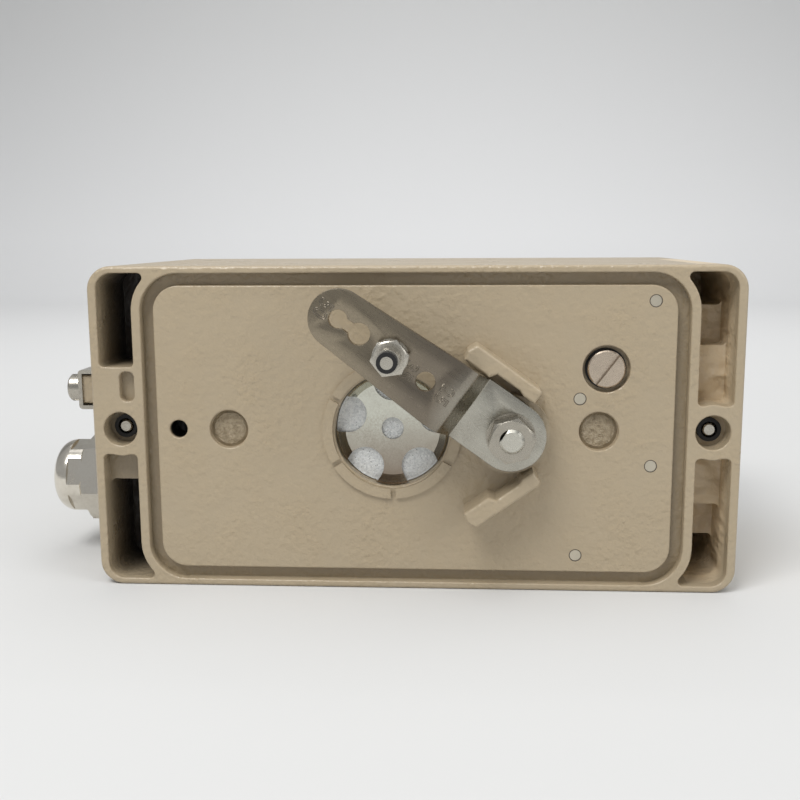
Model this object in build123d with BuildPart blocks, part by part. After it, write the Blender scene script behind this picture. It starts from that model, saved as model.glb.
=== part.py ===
from build123d import *
import os
from math import atan2, cos, pi, radians, sin, tan

# Valve positioner, seen from its back: a flat die-cast case that bolts to a valve by its back face.
# The origin is the middle of the back face, half way between the two mounting screws.
# X runs to the right as seen from behind, Z runs up, and Y runs from the back face into the case.
# All sizes are in millimetres.

# Case
BODY_W = 162.0
BODY_H = 82.0
BODY_D = 58.0
BODY_CORNER_R = 6.0
BACK_WALL = 10.0
TOP_WALL = 3.5
EDGE_R = 0.9
SMALL_CHAMFER = 0.3
MERGE = 0.2
RIM_EDGE_R = 0.4

# Empty seal groove round the back plate
GROOVE_END_MARGIN = 13.3
GROOVE_TOP_MARGIN = 1.8
GROOVE_WIDTH = 3.05
GROOVE_DEPTH = 3.0
GROOVE_R = 9.5
PLATE_SINK = 0.8
GROOVE_WALL = 2.3
COMPARTMENT_WALL = 3.2
COMPARTMENT_R = 5.0

# Mounting screws and their bores
SCREW_INSET = 7.0
SCREW_D = 4.0
SCREW_TIP_DEPTH = 4.4
SCREW_TIP_R = 1.6
SCREW_TIP_L = 1.8
SCREW_HEAD_D = 6.8
SCREW_SOCKET_FLATS = 3.0
SCREW_SOCKET_DEPTH = 2.2
SCREW_HEAD_H = 4.0
SCREW_HOLE_D = 4.5
SCREW_COUNTERBORE_D = 8.6
SCREW_COUNTERBORE_DEPTH = 6.0
SCREW_BOSS_R = 6.95
SEAL_RING_T = 1.4
SEAL_RING_WALL = 0.95

# Cast pockets in the two ends
POCKET_SIDE_WALL = 2.3
POCKET_TOP_WALL = 1.7
POCKET_CORNER_R = 4.0
POCKET_INNER_R = 1.2
LEFT_POCKET_DEPTH = 21.5
LEFT_UPPER_START = 15.8
SCREW_WEB = 6.6
SHELF_DEPTH = 5.0
SHELF_END = 14.0
PORT_POCKET_DEPTH = 10.5
MIDDLE_POCKET_DEPTH = 17.0
MIDDLE_POCKET_H = 18.8
DEEP_POCKET_DEPTH = 40.0
DEEP_POCKET_H = 9.0
NOTCH_W = 3.7
NOTCH_H = 7.6
NOTCH_DEPTH = 2.5
NOTCH_Z = 10.9
NOTCH_R = 1.6

# Marks on the back plate
DIMPLE_D = 9.7
DIMPLE_DEPTH = 1.8
DIMPLE_X = 46.3
PLATE_HOLE_MARGIN = 5.45
BLIND_HOLE_D = 4.5
BLIND_HOLE_DEPTH = 8.0
CHANNEL_PLUG_D = 2.9
CHANNEL_PLUG_L = 4.5
CHANNEL_TOP_MARGIN = 3.85
CHANNEL_LOW_MARGIN = 4.35
CHANNEL_MIDDLE_PLACE = (41.5, 8.2)
CHANNEL_SIDE_Z = -8.6
CHANNEL_LOW_X = 41.2
FIT_GAP = 0.03
PLUG_SINK = 0.1

# Vent
VENT_X = -5.0
VENT_R = 14.35
VENT_DEPTH = 7.0
VENT_DUCT_R = 3.0
FOAM_T = 2.7
STAR_T = 0.5
STAR_FLAT_R = 12.0
STAR_RIM_R = 14.1
STAR_RIM_H = 2.4
STAR_HOLE_R = 2.8
STAR_SCALLOP_R = 4.75
STAR_SCALLOP_PLACE_R = 11.9
STAR_ARMS = 5
STAR_TURN = 18.0
COLLAR_WIDTH = 2.5
COLLAR_GAP = 0.55
COLLAR_SLOT_W = 1.2
COLLAR_SLOTS = 6
COLLAR_TURN = 31.0

# Slotted screw plug
PLUG_X = 47.8
PLUG_Z = 15.6
PLUG_RECESS_R = 5.8
PLUG_RECESS_DEPTH = 2.6
PLUG_HEAD_R = 4.6
PLUG_HEAD_H = 2.0
PLUG_THREAD_R = 3.0
PLUG_THREAD_L = 4.0
PLUG_SLOT_W = 1.2
PLUG_SLOT_DEPTH = 1.3
PLUG_SLOT_ANGLE = 53.0
PLUG_SEAL_T = 0.8

# Lever shaft, its bushes and hub
SHAFT_X = 24.3
SHAFT_R = 4.0
SHAFT_THREAD_R = 2.95
SHAFT_TIP = 13.2
SHAFT_FLAT = 2.35
SHAFT_COLLAR_R = 6.2
SHAFT_COLLAR_T = 1.2
SHAFT_END = 17.0
SHAFT_TIP_CHAMFER = 0.6
BUSH_R = 5.5
BUSH_L = 3.6
BUSH_FLANGE_R = 6.6
BUSH_FLANGE_T = 0.8
HUB_R = 9.8
HUB_BORE_R = 7.2
HUB_TOP = 3.2
CIRCLIP_R = 5.6
CIRCLIP_T = 1.0
CIRCLIP_GROOVE = 0.5
CIRCLIP_MOUTH = 3.0
CIRCLIP_PLAY = 0.1
MAGNET_HOLDER_R = 8.0
MAGNET_HOLDER_START = 12.2
MAGNET_HOLDER_L = 8.6
MAGNET_R = 5.0
MAGNET_T = 3.0
SPRING_COIL_R = 5.4
SPRING_WIRE_R = 0.35
SPRING_PITCH = 0.95
SPRING_TURNS = 2.5

# Lever
LEVER_ANGLE = 35.5
LEVER_T = 2.0
LEVER_HEIGHT = 4.7
LEVER_STEP = 7.5
LEVER_HALF_W = 8.6
LEVER_TIP_R = 7.1
LEVER_TAPER_START = 20.0
LEVER_BEND_START = 13.6
LEVER_BEND_RUN = 3.8
LEVER_BEND_R = 3.2
HOLE_NEAR = 25.0
HOLE_PIN = 35.0
HOLE_FAR = 50.0
HOLE_NEAR_R = 2.3
HOLE_FAR_R = 2.2
KEYHOLE_OFFSET = 6.0
KEYHOLE_R = 2.6
KEYHOLE_NECK = 2.6
LUG_TOP = 8.5
LUG_STOP_GAP = 0.25
LUG_START = 0.4
LUG_END = 20.8
LUG_OUTER = 13.5
LUG_FOOT_END = 3.6
LUG_NOTCH_END = 11.7
LUG_NOTCH_V = 10.5
LUG_FOOT_V = 9.9
LUG_CORNER_R = 1.0
LUG_EDGE_R = 0.7
LUG_TIP_CUT = 1.0
LUG_TIP_DROP = 2.5
LUG_PAD_SLANT = 0.6
LUG_NOTCH_SLANT = 1.2
LUG_FOOT_SLANT = 1.4

# Lever nut, washer and follower pin
WASHER_R = 6.0
WASHER_T = 1.0
NUT_FLATS = 10.0
NUT_H = 4.9
NUT_TURN = 15.0
PIN_HEX_FLATS = 8.0
PIN_HEX_H = 3.1
PIN_HEX_TURN = 8.0
PIN_SHANK_R = 2.8
PIN_CORE_R = 1.45
PIN_LENGTH = 12.6
PIN_FOOT_R = 4.3
PIN_FOOT_T = 0.9
PIN_RING_R = 2.35
PIN_RING_L = 1.7
PIN_STUD_R = 2.0
PIN_STUD_END = 0.4
PIN_NUT_FLATS = 7.0
PIN_NUT_H = 2.8
HEX_CHAMFER = 0.9

# Earth terminal on the left side
EARTH_Y = 9.5
EARTH_Z = 9.3
EARTH_BOSS_W = 7.3
EARTH_BOSS_H = 4.3
EARTH_BOSS_R = 0.6
EARTH_SCREW_R = 2.0
EARTH_SCREW_L = 5.0
EARTH_HEAD_R = 3.5
EARTH_HEAD_H = 2.6
EARTH_HEAD_CHAMFER = 0.5
EARTH_WASHER_T = 0.8
EARTH_WASHER_R = 3.6
EARTH_CLAMP_T = 1.0
EARTH_CLAMP_LEG = 3.4
EARTH_CLAMP_GAP = 0.45
EARTH_CLAMP_W = 8.6
EARTH_SLOT_W = 1.1
EARTH_SLOT_DEPTH = 1.2
EARTH_SLOT_TURN = 20.0
EARTH_SPLIT_TURN = 15.0

# Cable entries on the left side
ENTRY_Y = 34.0
ENTRY_Z = 20.0
ENTRY_BORE_R = 9.2
ENTRY_THREAD_L = 9.0
ENTRY_GASKET_T = 1.0
ENTRY_GASKET_R = 11.0
GLAND_SHOULDER_R = 10.2
GLAND_SHOULDER_L = 6.0
GLAND_HEX_FLATS = 22.0
GLAND_HEX_H = 6.0
GLAND_NECK_R = 8.3
GLAND_NECK_L = 2.5
GLAND_PASSAGE_R = 6.4
GLAND_CAP_R = 10.3
GLAND_CAP_FLATS = 19.2
GLAND_CAP_L = 9.1
GLAND_FLAT_L = 4.2
GLAND_CAP_HOLE_R = 6.6
GLAND_CAP_GAP = 0.4
GLAND_SEAL_BORE_R = 5.2
GLAND_SEAL_L = 4.0
GLAND_SEAL_GAP = 0.4
GLAND_TURN = 18.0
GLAND_DOME_R = 4.8
GLAND_SKIRT_CHAMFER = 0.5
BLANK_HEAD_R = 11.6
BLANK_HEAD_H = 4.0
BLANK_HEAD_CHAMFER = 0.8
BLANK_SOCKET_FLATS = 10.0
BLANK_SOCKET_DEPTH = 3.0

# Air ports on the right side
PORT_Y = 23.0
PORT_Z = 15.0
PORT_BORE_R = 5.72
PORT_BORE_L = 12.0
PORT_DUCT_R = 3.0
INSERT_FLATS = 13.4
INSERT_SINK = 0.2
STRAINER_T = 1.2
STRAINER_HOLE_R = 0.5
STRAINER_PITCH = 1.8
STRAINER_HOLES = 6

# Front cover
COVER_D = 27.5
COVER_GAP = 0.5
COVER_WALL = 3.2
COVER_EDGE_R = 4.0
GASKET_W = 1.8
GASKET_T = 2.0
GASKET_MARGIN = 0.9
COVER_SCREW_INSET_X = 7.0
COVER_SCREW_INSET_Z = 7.5
COVER_SCREW_R = 2.0
COVER_SCREW_HEAD_R = 3.6
COVER_SCREW_HEAD_H = 2.6
COVER_SCREW_DEPTH = 8.0
COVER_BOSS_R = 4.4
COVER_HEAD_SINK = 3.6
COVER_SLOT_DEPTH = 1.2
COVER_SLOT_W = 1.0
COVER_SLOT_L = 4.2
WINDOW_FRAME_GAP = 2.0
WINDOW_H = 26.0
WINDOW_R = 4.0
WINDOW_T = 3.0
WINDOW_LIP = 3.0
WINDOW_GAP = 0.1
WINDOW_SINK = 0.6
DISPLAY_Z = 14.0

# Electronics in the compartment
BOARD_DEPTH = 24.0
BOARD_T = 1.6
BOARD_LEFT_GAP = 23.0
BOARD_RIGHT_GAP = 32.5
BOARD_WALL_GAP = 8.5
BOARD_POST_R = 3.0
BOARD_POST_INSET = 3.6
M3_R = 1.5
M3_HEAD_R = 2.75
M3_HEAD_H = 2.0
M3_GRIP = 6.0
M3_SOCKET_FLATS = 2.0
M3_SOCKET_DEPTH = 1.2
SENSOR_SIZE = 6.0
SENSOR_T = 1.4
# Chips as x, z, width, height and thickness; cans as x, z, radius and height
BOARD_CHIPS = [(-12.0, 14.0, 14.0, 14.0, 1.8), (8.0, 16.0, 10.0, 7.0, 1.6), (-8.0, -14.0, 8.0, 12.0, 2.2)]
BOARD_CANS = [(10.0, -18.0, 4.0, 9.0), (20.0, -18.0, 4.0, 9.0), (22.0, 16.0, 2.5, 6.0)]
TERMINAL_W = 12.0
TERMINAL_H = 16.0
TERMINAL_POLES = 8
TERMINAL_PITCH = 5.0
TERMINAL_SCREW_R = 1.5
TERMINAL_SCREW_SINK = 4.0
TERMINAL_INSET = 2.0
TERMINAL_SCREW_L = 5.0
TERMINAL_SLOT_W = 0.6
TERMINAL_SLOT_DEPTH = 0.6
TERMINAL_WIRE_R = 1.4
TERMINAL_WIRE_Y = 4.5
TERMINAL_WIRE_DEPTH = 4.0
PANEL_SINK = 6.0
PANEL_T = 2.5
PANEL_LEFT_GAP = 40.5
PANEL_EDGE_GAP = 1.0
PANEL_POST_W = 7.0
PANEL_POST_INSET = 4.0
DISPLAY_EDGE_GAP = 2.0
DISPLAY_KNOB_GAP = 6.5
DISPLAY_FRAME_H = 30.0
DISPLAY_FRAME_L = 20.0
DISPLAY_FRAME_WALL = 2.0
DISPLAY_LEDGE = 2.0
DISPLAY_GLASS_T = 2.0
DISPLAY_GLASS_SINK = 1.0
KNOB_EDGE_GAP = 17.5
KNOB_Z = 16.0
KNOB_R = 7.5
KNOB_H = 11.0
KNOB_GRIPS = 16
ENCODER_SIZE = 12.0
ENCODER_H = 6.0
ENCODER_SHAFT_R = 3.0
ENCODER_SHAFT_L = 14.0
ENCODER_FLOOR = 0.8
KNOB_GRIP_R = 0.8
KNOB_EDGE_R = 0.8
RUNNING_GAP = 0.05
PRESS_TRAVEL = 0.8
BUTTON_Z = -8.0
BUTTON_R = 2.5
BUTTON_STAND = 2.0
BUTTON_FLANGE_R = 3.5
BUTTON_FLANGE_T = 1.6
BUTTON_BODY_W = 10.0
BUTTON_BODY_L = 7.0
SWITCH_OFF_X = 3.0
SWITCH_Z = -14.0
SWITCH_BODY_W = 16.0
SWITCH_BODY_H = 9.0
SWITCH_BODY_L = 5.0
SWITCH_SLIDER_W = 4.0
SWITCH_SLIDER_H = 4.0
SWITCH_BASE_W = 5.6
SWITCH_BASE_H = 5.6
SWITCH_BASE_T = 1.6
SWITCH_STAND = 1.8
SWITCH_TRAVEL = 6.0
RESTRICTOR_EDGE_GAP = 25.0
RESTRICTOR_Z = -24.0
RESTRICTOR_HEAD_R = 4.0
RESTRICTOR_HEAD_H = 2.6
RESTRICTOR_STEM_R = 2.0
RESTRICTOR_GRIP = 4.0
RESTRICTOR_SLOT_W = 1.2
RESTRICTOR_SLOT_DEPTH = 1.2
MOVING_GAP = 0.2

# Air side in the compartment
BLOCK_BOARD_GAP = 1.2
BLOCK_WALL_GAP = 0.3
BLOCK_INNER_Z = 6.0
BLOCK_RIB_GAP = 0.9
BLOCK_EDGE_R = 1.5
BLOCK_SCREW_INSET = 4.0
BLOCK_SCREW_GRIP = 4.0
CONVERTER_PANEL_GAP = 22.0
BOOSTER_PANEL_GAP = 18.0
BOOSTER_CAP_MARGIN = 3.3
BOOSTER_CAP_H = 3.0
BOOSTER_CAP_OFF_X = 3.3
BOOSTER_CAP_CHAMFER = 0.8
REGULATOR_OFF_X = 0.7
REGULATOR_R = 4.4
REGULATOR_NECK_R = 3.0
REGULATOR_NECK_H = 8.0
REGULATOR_PANEL_GAP = 12.0

# Worked out from the sizes above
half_w = BODY_W / 2
half_h = BODY_H / 2
groove_w = BODY_W - 2 * GROOVE_END_MARGIN
groove_h = BODY_H - 2 * GROOVE_TOP_MARGIN
plate_w = groove_w - 2 * GROOVE_WIDTH
plate_h = groove_h - 2 * GROOVE_WIDTH
plate_r = GROOVE_R - GROOVE_WIDTH
plate_hole_x = plate_w / 2 - PLATE_HOLE_MARGIN
channel_plug_places = [
    (plate_hole_x, plate_h / 2 - CHANNEL_TOP_MARGIN),
    CHANNEL_MIDDLE_PLACE,
    (plate_hole_x, CHANNEL_SIDE_Z),
    (CHANNEL_LOW_X, CHANNEL_LOW_MARGIN - plate_h / 2),
]
screw_spacing = BODY_W - 2 * SCREW_INSET
cover_screw_x = half_w - COVER_SCREW_INSET_X
cover_screw_z = half_h - COVER_SCREW_INSET_Z
compartment_w = groove_w - 2 * COMPARTMENT_WALL
compartment_h = BODY_H - 2 * TOP_WALL
insert_end = PORT_BORE_L + INSERT_SINK
pocket_far = half_h - POCKET_TOP_WALL
lever_top = LEVER_HEIGHT + LEVER_T
lever_outer_top = lever_top + LEVER_STEP
front_y = BODY_D + COVER_GAP + COVER_D
collar_mid_r = VENT_R + COLLAR_GAP + COLLAR_WIDTH / 2
lever_along = (-cos(radians(LEVER_ANGLE)), 0, sin(radians(LEVER_ANGLE)))
board_half_h = compartment_h / 2 - BOARD_WALL_GAP
board_left = -compartment_w / 2 + BOARD_LEFT_GAP
board_right = compartment_w / 2 - BOARD_RIGHT_GAP
board_mid = (board_left + board_right) / 2
board_posts = (board_right - board_left - 2 * BOARD_POST_INSET, 2 * (board_half_h - BOARD_POST_INSET))
panel_depth = BODY_D - PANEL_SINK
panel_left = -compartment_w / 2 + PANEL_LEFT_GAP
panel_right = compartment_w / 2 - PANEL_EDGE_GAP
panel_mid = (panel_left + panel_right) / 2
panel_half_h = compartment_h / 2 - PANEL_EDGE_GAP
panel_posts = (panel_right - panel_left - 2 * PANEL_POST_INSET, 2 * (panel_half_h - PANEL_POST_INSET))
knob_x = panel_right - KNOB_EDGE_GAP
restrictor_x = panel_right - RESTRICTOR_EDGE_GAP
display_left = panel_left + DISPLAY_EDGE_GAP
display_right = knob_x - KNOB_R - DISPLAY_KNOB_GAP
display_frame_w = display_right - display_left
display_x = (display_left + display_right) / 2
window_w = display_frame_w - 2 * WINDOW_FRAME_GAP
switch_x = display_x + SWITCH_OFF_X
rib_h = PANEL_POST_W + PANEL_EDGE_GAP
block_outer_z = compartment_h / 2 - rib_h - BLOCK_RIB_GAP
block_near_x = board_right + BLOCK_BOARD_GAP
block_far_x = compartment_w / 2 - BLOCK_WALL_GAP
block_x = (block_near_x + block_far_x) / 2
block_w = block_far_x - block_near_x
block_z = (BLOCK_INNER_Z + block_outer_z) / 2
block_h = block_outer_z - BLOCK_INNER_Z
converter_h = panel_depth - BACK_WALL - CONVERTER_PANEL_GAP
booster_h = panel_depth - BACK_WALL - BOOSTER_PANEL_GAP
booster_cap_r = block_h / 2 - BOOSTER_CAP_MARGIN
regulator_h = panel_depth - BACK_WALL - REGULATOR_PANEL_GAP
screw_off_x = block_w / 2 - BLOCK_SCREW_INSET
screw_off_z = block_h / 2 - BLOCK_SCREW_INSET
converter_screws = [
    (block_x - screw_off_x, block_z + screw_off_z),
    (block_x + screw_off_x, block_z - screw_off_z),
]
booster_screws = [
    (block_x - screw_off_x, screw_off_z - block_z),
    (block_x + screw_off_x, -screw_off_z - block_z),
]


def face_plane(depth):
    """Plane parallel to the back face at this depth, with its normal out of the back."""
    return Plane.XZ.offset(-depth)


def shaft_plane(depth):
    """The face plane with its origin moved to the lever shaft."""
    return Plane(origin=(SHAFT_X, depth, 0), x_dir=(1, 0, 0), z_dir=(0, -1, 0))


def lever_plane(height, along=lever_along):
    """Plane this far out of the back with x along the lever from the shaft to the tip."""
    return Plane(origin=(SHAFT_X, -height, 0), x_dir=along, z_dir=(0, -1, 0))


def left_plane(reach, y, z):
    """Plane this far outside the left side, with its normal out of that side."""
    return Plane(origin=(-half_w - reach, y, z), x_dir=(0, 0, 1), z_dir=(-1, 0, 0))


def port_plane(reach, z):
    """Plane across one air port this far outside the right side, with its normal out of that side."""
    return Plane(origin=(half_w + reach, PORT_Y, z), x_dir=(0, 0, 1), z_dir=(1, 0, 0))


def left_profile(y, z):
    """Plane for turned parts on the left side: x is the reach out of the side, y the radius."""
    return Plane(origin=(-half_w, y, z), x_dir=(-1, 0, 0), z_dir=(0, 1, 0))


def depth_profile(x, z):
    """Plane for turned parts along Y: x is the depth into the case, y the radius."""
    return Plane(origin=(x, 0, z), x_dir=(0, 1, 0), z_dir=(1, 0, 0))


def turn(plane, points, mode=Mode.ADD):
    """Turned solid round the plane's x axis, from points given as distance along it and radius."""
    with BuildSketch(plane) as outline:
        with BuildLine():
            Polyline(points, close=True)
        make_face()
    revolve(outline.sketch, axis=Axis(plane.origin, plane.x_dir), mode=mode)


def disc(x, z, radius, near, far, mode=Mode.ADD):
    """Round solid between two depths, or a bore with Mode.SUBTRACT."""
    with BuildSketch(face_plane(near)) as outline:
        with Locations((x, z)):
            Circle(radius)
    extrude(outline.sketch, amount=near - far, mode=mode)


def block(x, z, width, height, near, far, mode=Mode.ADD):
    """Straight block between two depths, centred on x and z."""
    with BuildSketch(face_plane(near)) as outline:
        with Locations((x, z)):
            Rectangle(width, height)
    extrude(outline.sketch, amount=near - far, mode=mode)


def hexagon(plane, flats, height, rotation=0.0, mode=Mode.ADD):
    """Hexagonal solid on a plane, along its normal."""
    with BuildSketch(plane) as outline:
        RegularPolygon(flats / 2, 6, major_radius=False, rotation=rotation)
    extrude(outline.sketch, amount=height, mode=mode)


def hex_blank(flats, near, far):
    """Turned outline of a hexagon with both its ends chamfered."""
    corner = flats / 2 / cos(pi / 6)
    rim = corner - HEX_CHAMFER
    low = near + HEX_CHAMFER / 2
    high = far - HEX_CHAMFER / 2
    return [(near, 0), (near, rim), (low, corner), (high, corner), (far, rim), (far, 0)]


def socket_screw(x, z, tip, seat):
    """Small cap screw between its tip's depth and the depth that its head seats at."""
    head_far = seat + M3_HEAD_H
    disc(x, z, M3_R, tip, seat)
    disc(x, z, M3_HEAD_R, seat, head_far)
    socket_plane = Plane(origin=(x, head_far, z), x_dir=(1, 0, 0), z_dir=(0, -1, 0))
    hexagon(socket_plane, M3_SOCKET_FLATS, M3_SOCKET_DEPTH, mode=Mode.SUBTRACT)


def save(part, name):
    """Names a finished piece and writes it."""
    part.label = name
    export_step(part, f"parts/{name}.step")


def pocket_outline(side, near, far):
    """Outline of one end pocket: it keeps clear of the seal groove and of the screw's boss."""
    inner_x = groove_w / 2 - GROOVE_R
    outer_x = half_w - POCKET_SIDE_WALL
    with BuildSketch(face_plane(0)) as outline:
        with Locations((side * (inner_x + outer_x) / 2, (near + far) / 2)):
            Rectangle(outer_x - inner_x, abs(far - near))
        fillet(outline.vertices().sort_by_distance((0, 0))[-1], POCKET_CORNER_R)
        RectangleRounded(
            groove_w + 2 * GROOVE_WALL,
            groove_h + 2 * GROOVE_WALL,
            GROOVE_R + GROOVE_WALL,
            mode=Mode.SUBTRACT,
        )
        with Locations((side * screw_spacing / 2, 0)):
            Circle(SCREW_BOSS_R, mode=Mode.SUBTRACT)
        near_corners = outline.vertices().group_by(lambda v: round(abs(v.Y - near), 2))[0].sort_by(Axis.X)
        tip = outline.vertices().sort_by(lambda v: abs(v.X))[0]
        if abs(tip.Y - near) > POCKET_INNER_R:
            fillet([near_corners[0], near_corners[-1], tip], POCKET_INNER_R)
        else:
            fillet([near_corners[0], near_corners[-1]], POCKET_INNER_R)
    return outline.sketch


def lug_outline(along):
    """Outline of one lever guard: a stop pad, a cut-back middle and a foot on the hub."""
    pad = LEVER_HALF_W + LUG_STOP_GAP
    side = -1 if along[2] > 0 else 1
    points = [
        (LUG_START, LUG_OUTER),
        (LUG_END - LUG_TIP_CUT, LUG_OUTER),
        (LUG_END, LUG_OUTER - LUG_TIP_DROP),
        (LUG_END - LUG_PAD_SLANT, pad),
        (LUG_NOTCH_END + LUG_NOTCH_SLANT, pad),
        (LUG_NOTCH_END, LUG_NOTCH_V),
        (LUG_FOOT_END + LUG_FOOT_SLANT, LUG_NOTCH_V),
        (LUG_FOOT_END, LUG_FOOT_V),
        (LUG_START, LUG_FOOT_V),
    ]
    with BuildSketch(lever_plane(-PLATE_SINK, along)) as outline:
        with BuildLine():
            Polyline([(u, side * v) for u, v in points], close=True)
        make_face()
        outer = outline.vertices().group_by(lambda v: abs(v.Y))[-1]
        fillet(outer, LUG_CORNER_R)
    return outline.sketch


os.makedirs("parts", exist_ok=True)

# Case
with BuildPart() as housing:
    with BuildSketch(face_plane(0)):
        RectangleRounded(BODY_W, BODY_H, BODY_CORNER_R)
    extrude(amount=-BODY_D)
    fillet(housing.faces().sort_by(Axis.Y)[0].edges(), EDGE_R)
    # The back plate is sunk a little, inside an empty seal groove.
    with BuildSketch(face_plane(0)):
        RectangleRounded(groove_w, groove_h, GROOVE_R)
    extrude(amount=-PLATE_SINK, mode=Mode.SUBTRACT)
    with BuildSketch(face_plane(PLATE_SINK)):
        RectangleRounded(groove_w, groove_h, GROOVE_R)
        RectangleRounded(plate_w, plate_h, plate_r, mode=Mode.SUBTRACT)
    extrude(amount=PLATE_SINK - GROOVE_DEPTH, mode=Mode.SUBTRACT)
    # End pockets: the left ones are plain, the right ones step down beside the air ports.
    extrude(
        pocket_outline(-1, LEFT_UPPER_START, pocket_far),
        amount=-LEFT_POCKET_DEPTH,
        mode=Mode.SUBTRACT,
    )
    extrude(pocket_outline(-1, -SCREW_WEB, -pocket_far), amount=-SHELF_DEPTH, mode=Mode.SUBTRACT)
    extrude(pocket_outline(-1, -SHELF_END, -pocket_far), amount=-LEFT_POCKET_DEPTH, mode=Mode.SUBTRACT)
    for up in (1, -1):
        for start, depth in (
            (SCREW_WEB, PORT_POCKET_DEPTH),
            (pocket_far - MIDDLE_POCKET_H, MIDDLE_POCKET_DEPTH),
            (pocket_far - DEEP_POCKET_H, DEEP_POCKET_DEPTH),
        ):
            extrude(pocket_outline(1, up * start, up * pocket_far), amount=-depth, mode=Mode.SUBTRACT)
    with BuildSketch(face_plane(0)):
        with Locations((-groove_w / 2 - GROOVE_WALL - NOTCH_W / 2, NOTCH_Z)):
            RectangleRounded(NOTCH_W, NOTCH_H, NOTCH_R)
    extrude(amount=-NOTCH_DEPTH, mode=Mode.SUBTRACT)
    # Mounting screw bores
    with BuildSketch(face_plane(0)):
        with GridLocations(screw_spacing, 0, 2, 1):
            Circle(SCREW_COUNTERBORE_D / 2)
    extrude(amount=-SCREW_COUNTERBORE_DEPTH, mode=Mode.SUBTRACT)
    rim_face = housing.faces().sort_by(Axis.Y)[0]
    fillet([edge for wire in rim_face.inner_wires() for edge in wire.edges()], RIM_EDGE_R)
    with BuildSketch(face_plane(0)):
        with GridLocations(screw_spacing, 0, 2, 1):
            Circle(SCREW_HOLE_D / 2)
    extrude(amount=-BODY_D, mode=Mode.SUBTRACT)
    # Dimples, blind hole, vent recess, screw plug recess and channel plugs in the plate
    with BuildSketch(face_plane(PLATE_SINK)):
        with GridLocations(2 * DIMPLE_X, 0, 2, 1):
            Circle(DIMPLE_D / 2)
    extrude(amount=-DIMPLE_DEPTH, mode=Mode.SUBTRACT)
    with BuildSketch(face_plane(PLATE_SINK)):
        with Locations((VENT_X, 0)):
            Circle(VENT_R)
    extrude(amount=PLATE_SINK - VENT_DEPTH, mode=Mode.SUBTRACT)
    with BuildSketch(face_plane(PLATE_SINK)):
        with Locations((PLUG_X, PLUG_Z)):
            Circle(PLUG_RECESS_R)
    extrude(amount=-PLUG_RECESS_DEPTH, mode=Mode.SUBTRACT)
    with BuildSketch(face_plane(PLATE_SINK)):
        with Locations((-plate_hole_x, 0)):
            Circle(BLIND_HOLE_D / 2)
    extrude(amount=-BLIND_HOLE_DEPTH, mode=Mode.SUBTRACT)
    level_faces = housing.faces().filter_by(Axis.Y)
    plate_faces = level_faces.filter_by(lambda f: abs(f.center().Y - PLATE_SINK) < MERGE)
    fillet(plate_faces.sort_by(SortBy.AREA)[-1].edges(), RIM_EDGE_R)
    with BuildSketch(face_plane(PLATE_SINK)):
        with Locations((PLUG_X, PLUG_Z)):
            Circle(PLUG_THREAD_R + FIT_GAP)
    extrude(amount=-PLUG_RECESS_DEPTH - PLUG_THREAD_L, mode=Mode.SUBTRACT)
    with BuildSketch(face_plane(PLATE_SINK)):
        with Locations(channel_plug_places):
            Circle(CHANNEL_PLUG_D / 2 + FIT_GAP)
    extrude(amount=-CHANNEL_PLUG_L, mode=Mode.SUBTRACT)
    # Raised collar round the vent, cut into arcs by narrow slots
    with BuildSketch(face_plane(0)):
        with Locations((VENT_X, 0)):
            Circle(VENT_R + COLLAR_GAP + COLLAR_WIDTH)
            Circle(VENT_R + COLLAR_GAP, mode=Mode.SUBTRACT)
            with PolarLocations(collar_mid_r, COLLAR_SLOTS, start_angle=COLLAR_TURN):
                Rectangle(2 * COLLAR_WIDTH, COLLAR_SLOT_W, mode=Mode.SUBTRACT)
    extrude(amount=-PLATE_SINK - MERGE)
    # Vent duct into the compartment
    with BuildSketch(face_plane(VENT_DEPTH)):
        with Locations((VENT_X, 0)):
            Circle(VENT_DUCT_R)
    extrude(amount=VENT_DEPTH - BACK_WALL, mode=Mode.SUBTRACT)
    # Hub and the two lever guards
    with BuildSketch(shaft_plane(PLATE_SINK + MERGE)):
        Circle(HUB_R)
    extrude(amount=PLATE_SINK + MERGE + HUB_TOP)
    lower_along = (lever_along[0], 0, -lever_along[2])
    for along in (lever_along, lower_along):
        extrude(lug_outline(along), amount=LUG_TOP + PLATE_SINK)
    lug_tops = housing.faces().filter_by(Axis.Y).sort_by(Axis.Y)[:2]
    fillet(lug_tops.edges(), LUG_EDGE_R)
    # Shaft bore, with room for the spring in the hub and a seat for each bush
    with BuildSketch(shaft_plane(-HUB_TOP)):
        Circle(HUB_BORE_R)
    extrude(amount=-HUB_TOP - PLATE_SINK, mode=Mode.SUBTRACT)
    with BuildSketch(shaft_plane(0)):
        Circle(BUSH_R + FIT_GAP)
    extrude(amount=-BACK_WALL, mode=Mode.SUBTRACT)
    # Compartment, open to the front
    with BuildSketch(face_plane(BACK_WALL)):
        RectangleRounded(compartment_w, compartment_h, COMPARTMENT_R)
    extrude(amount=BACK_WALL - BODY_D, mode=Mode.SUBTRACT)
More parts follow.
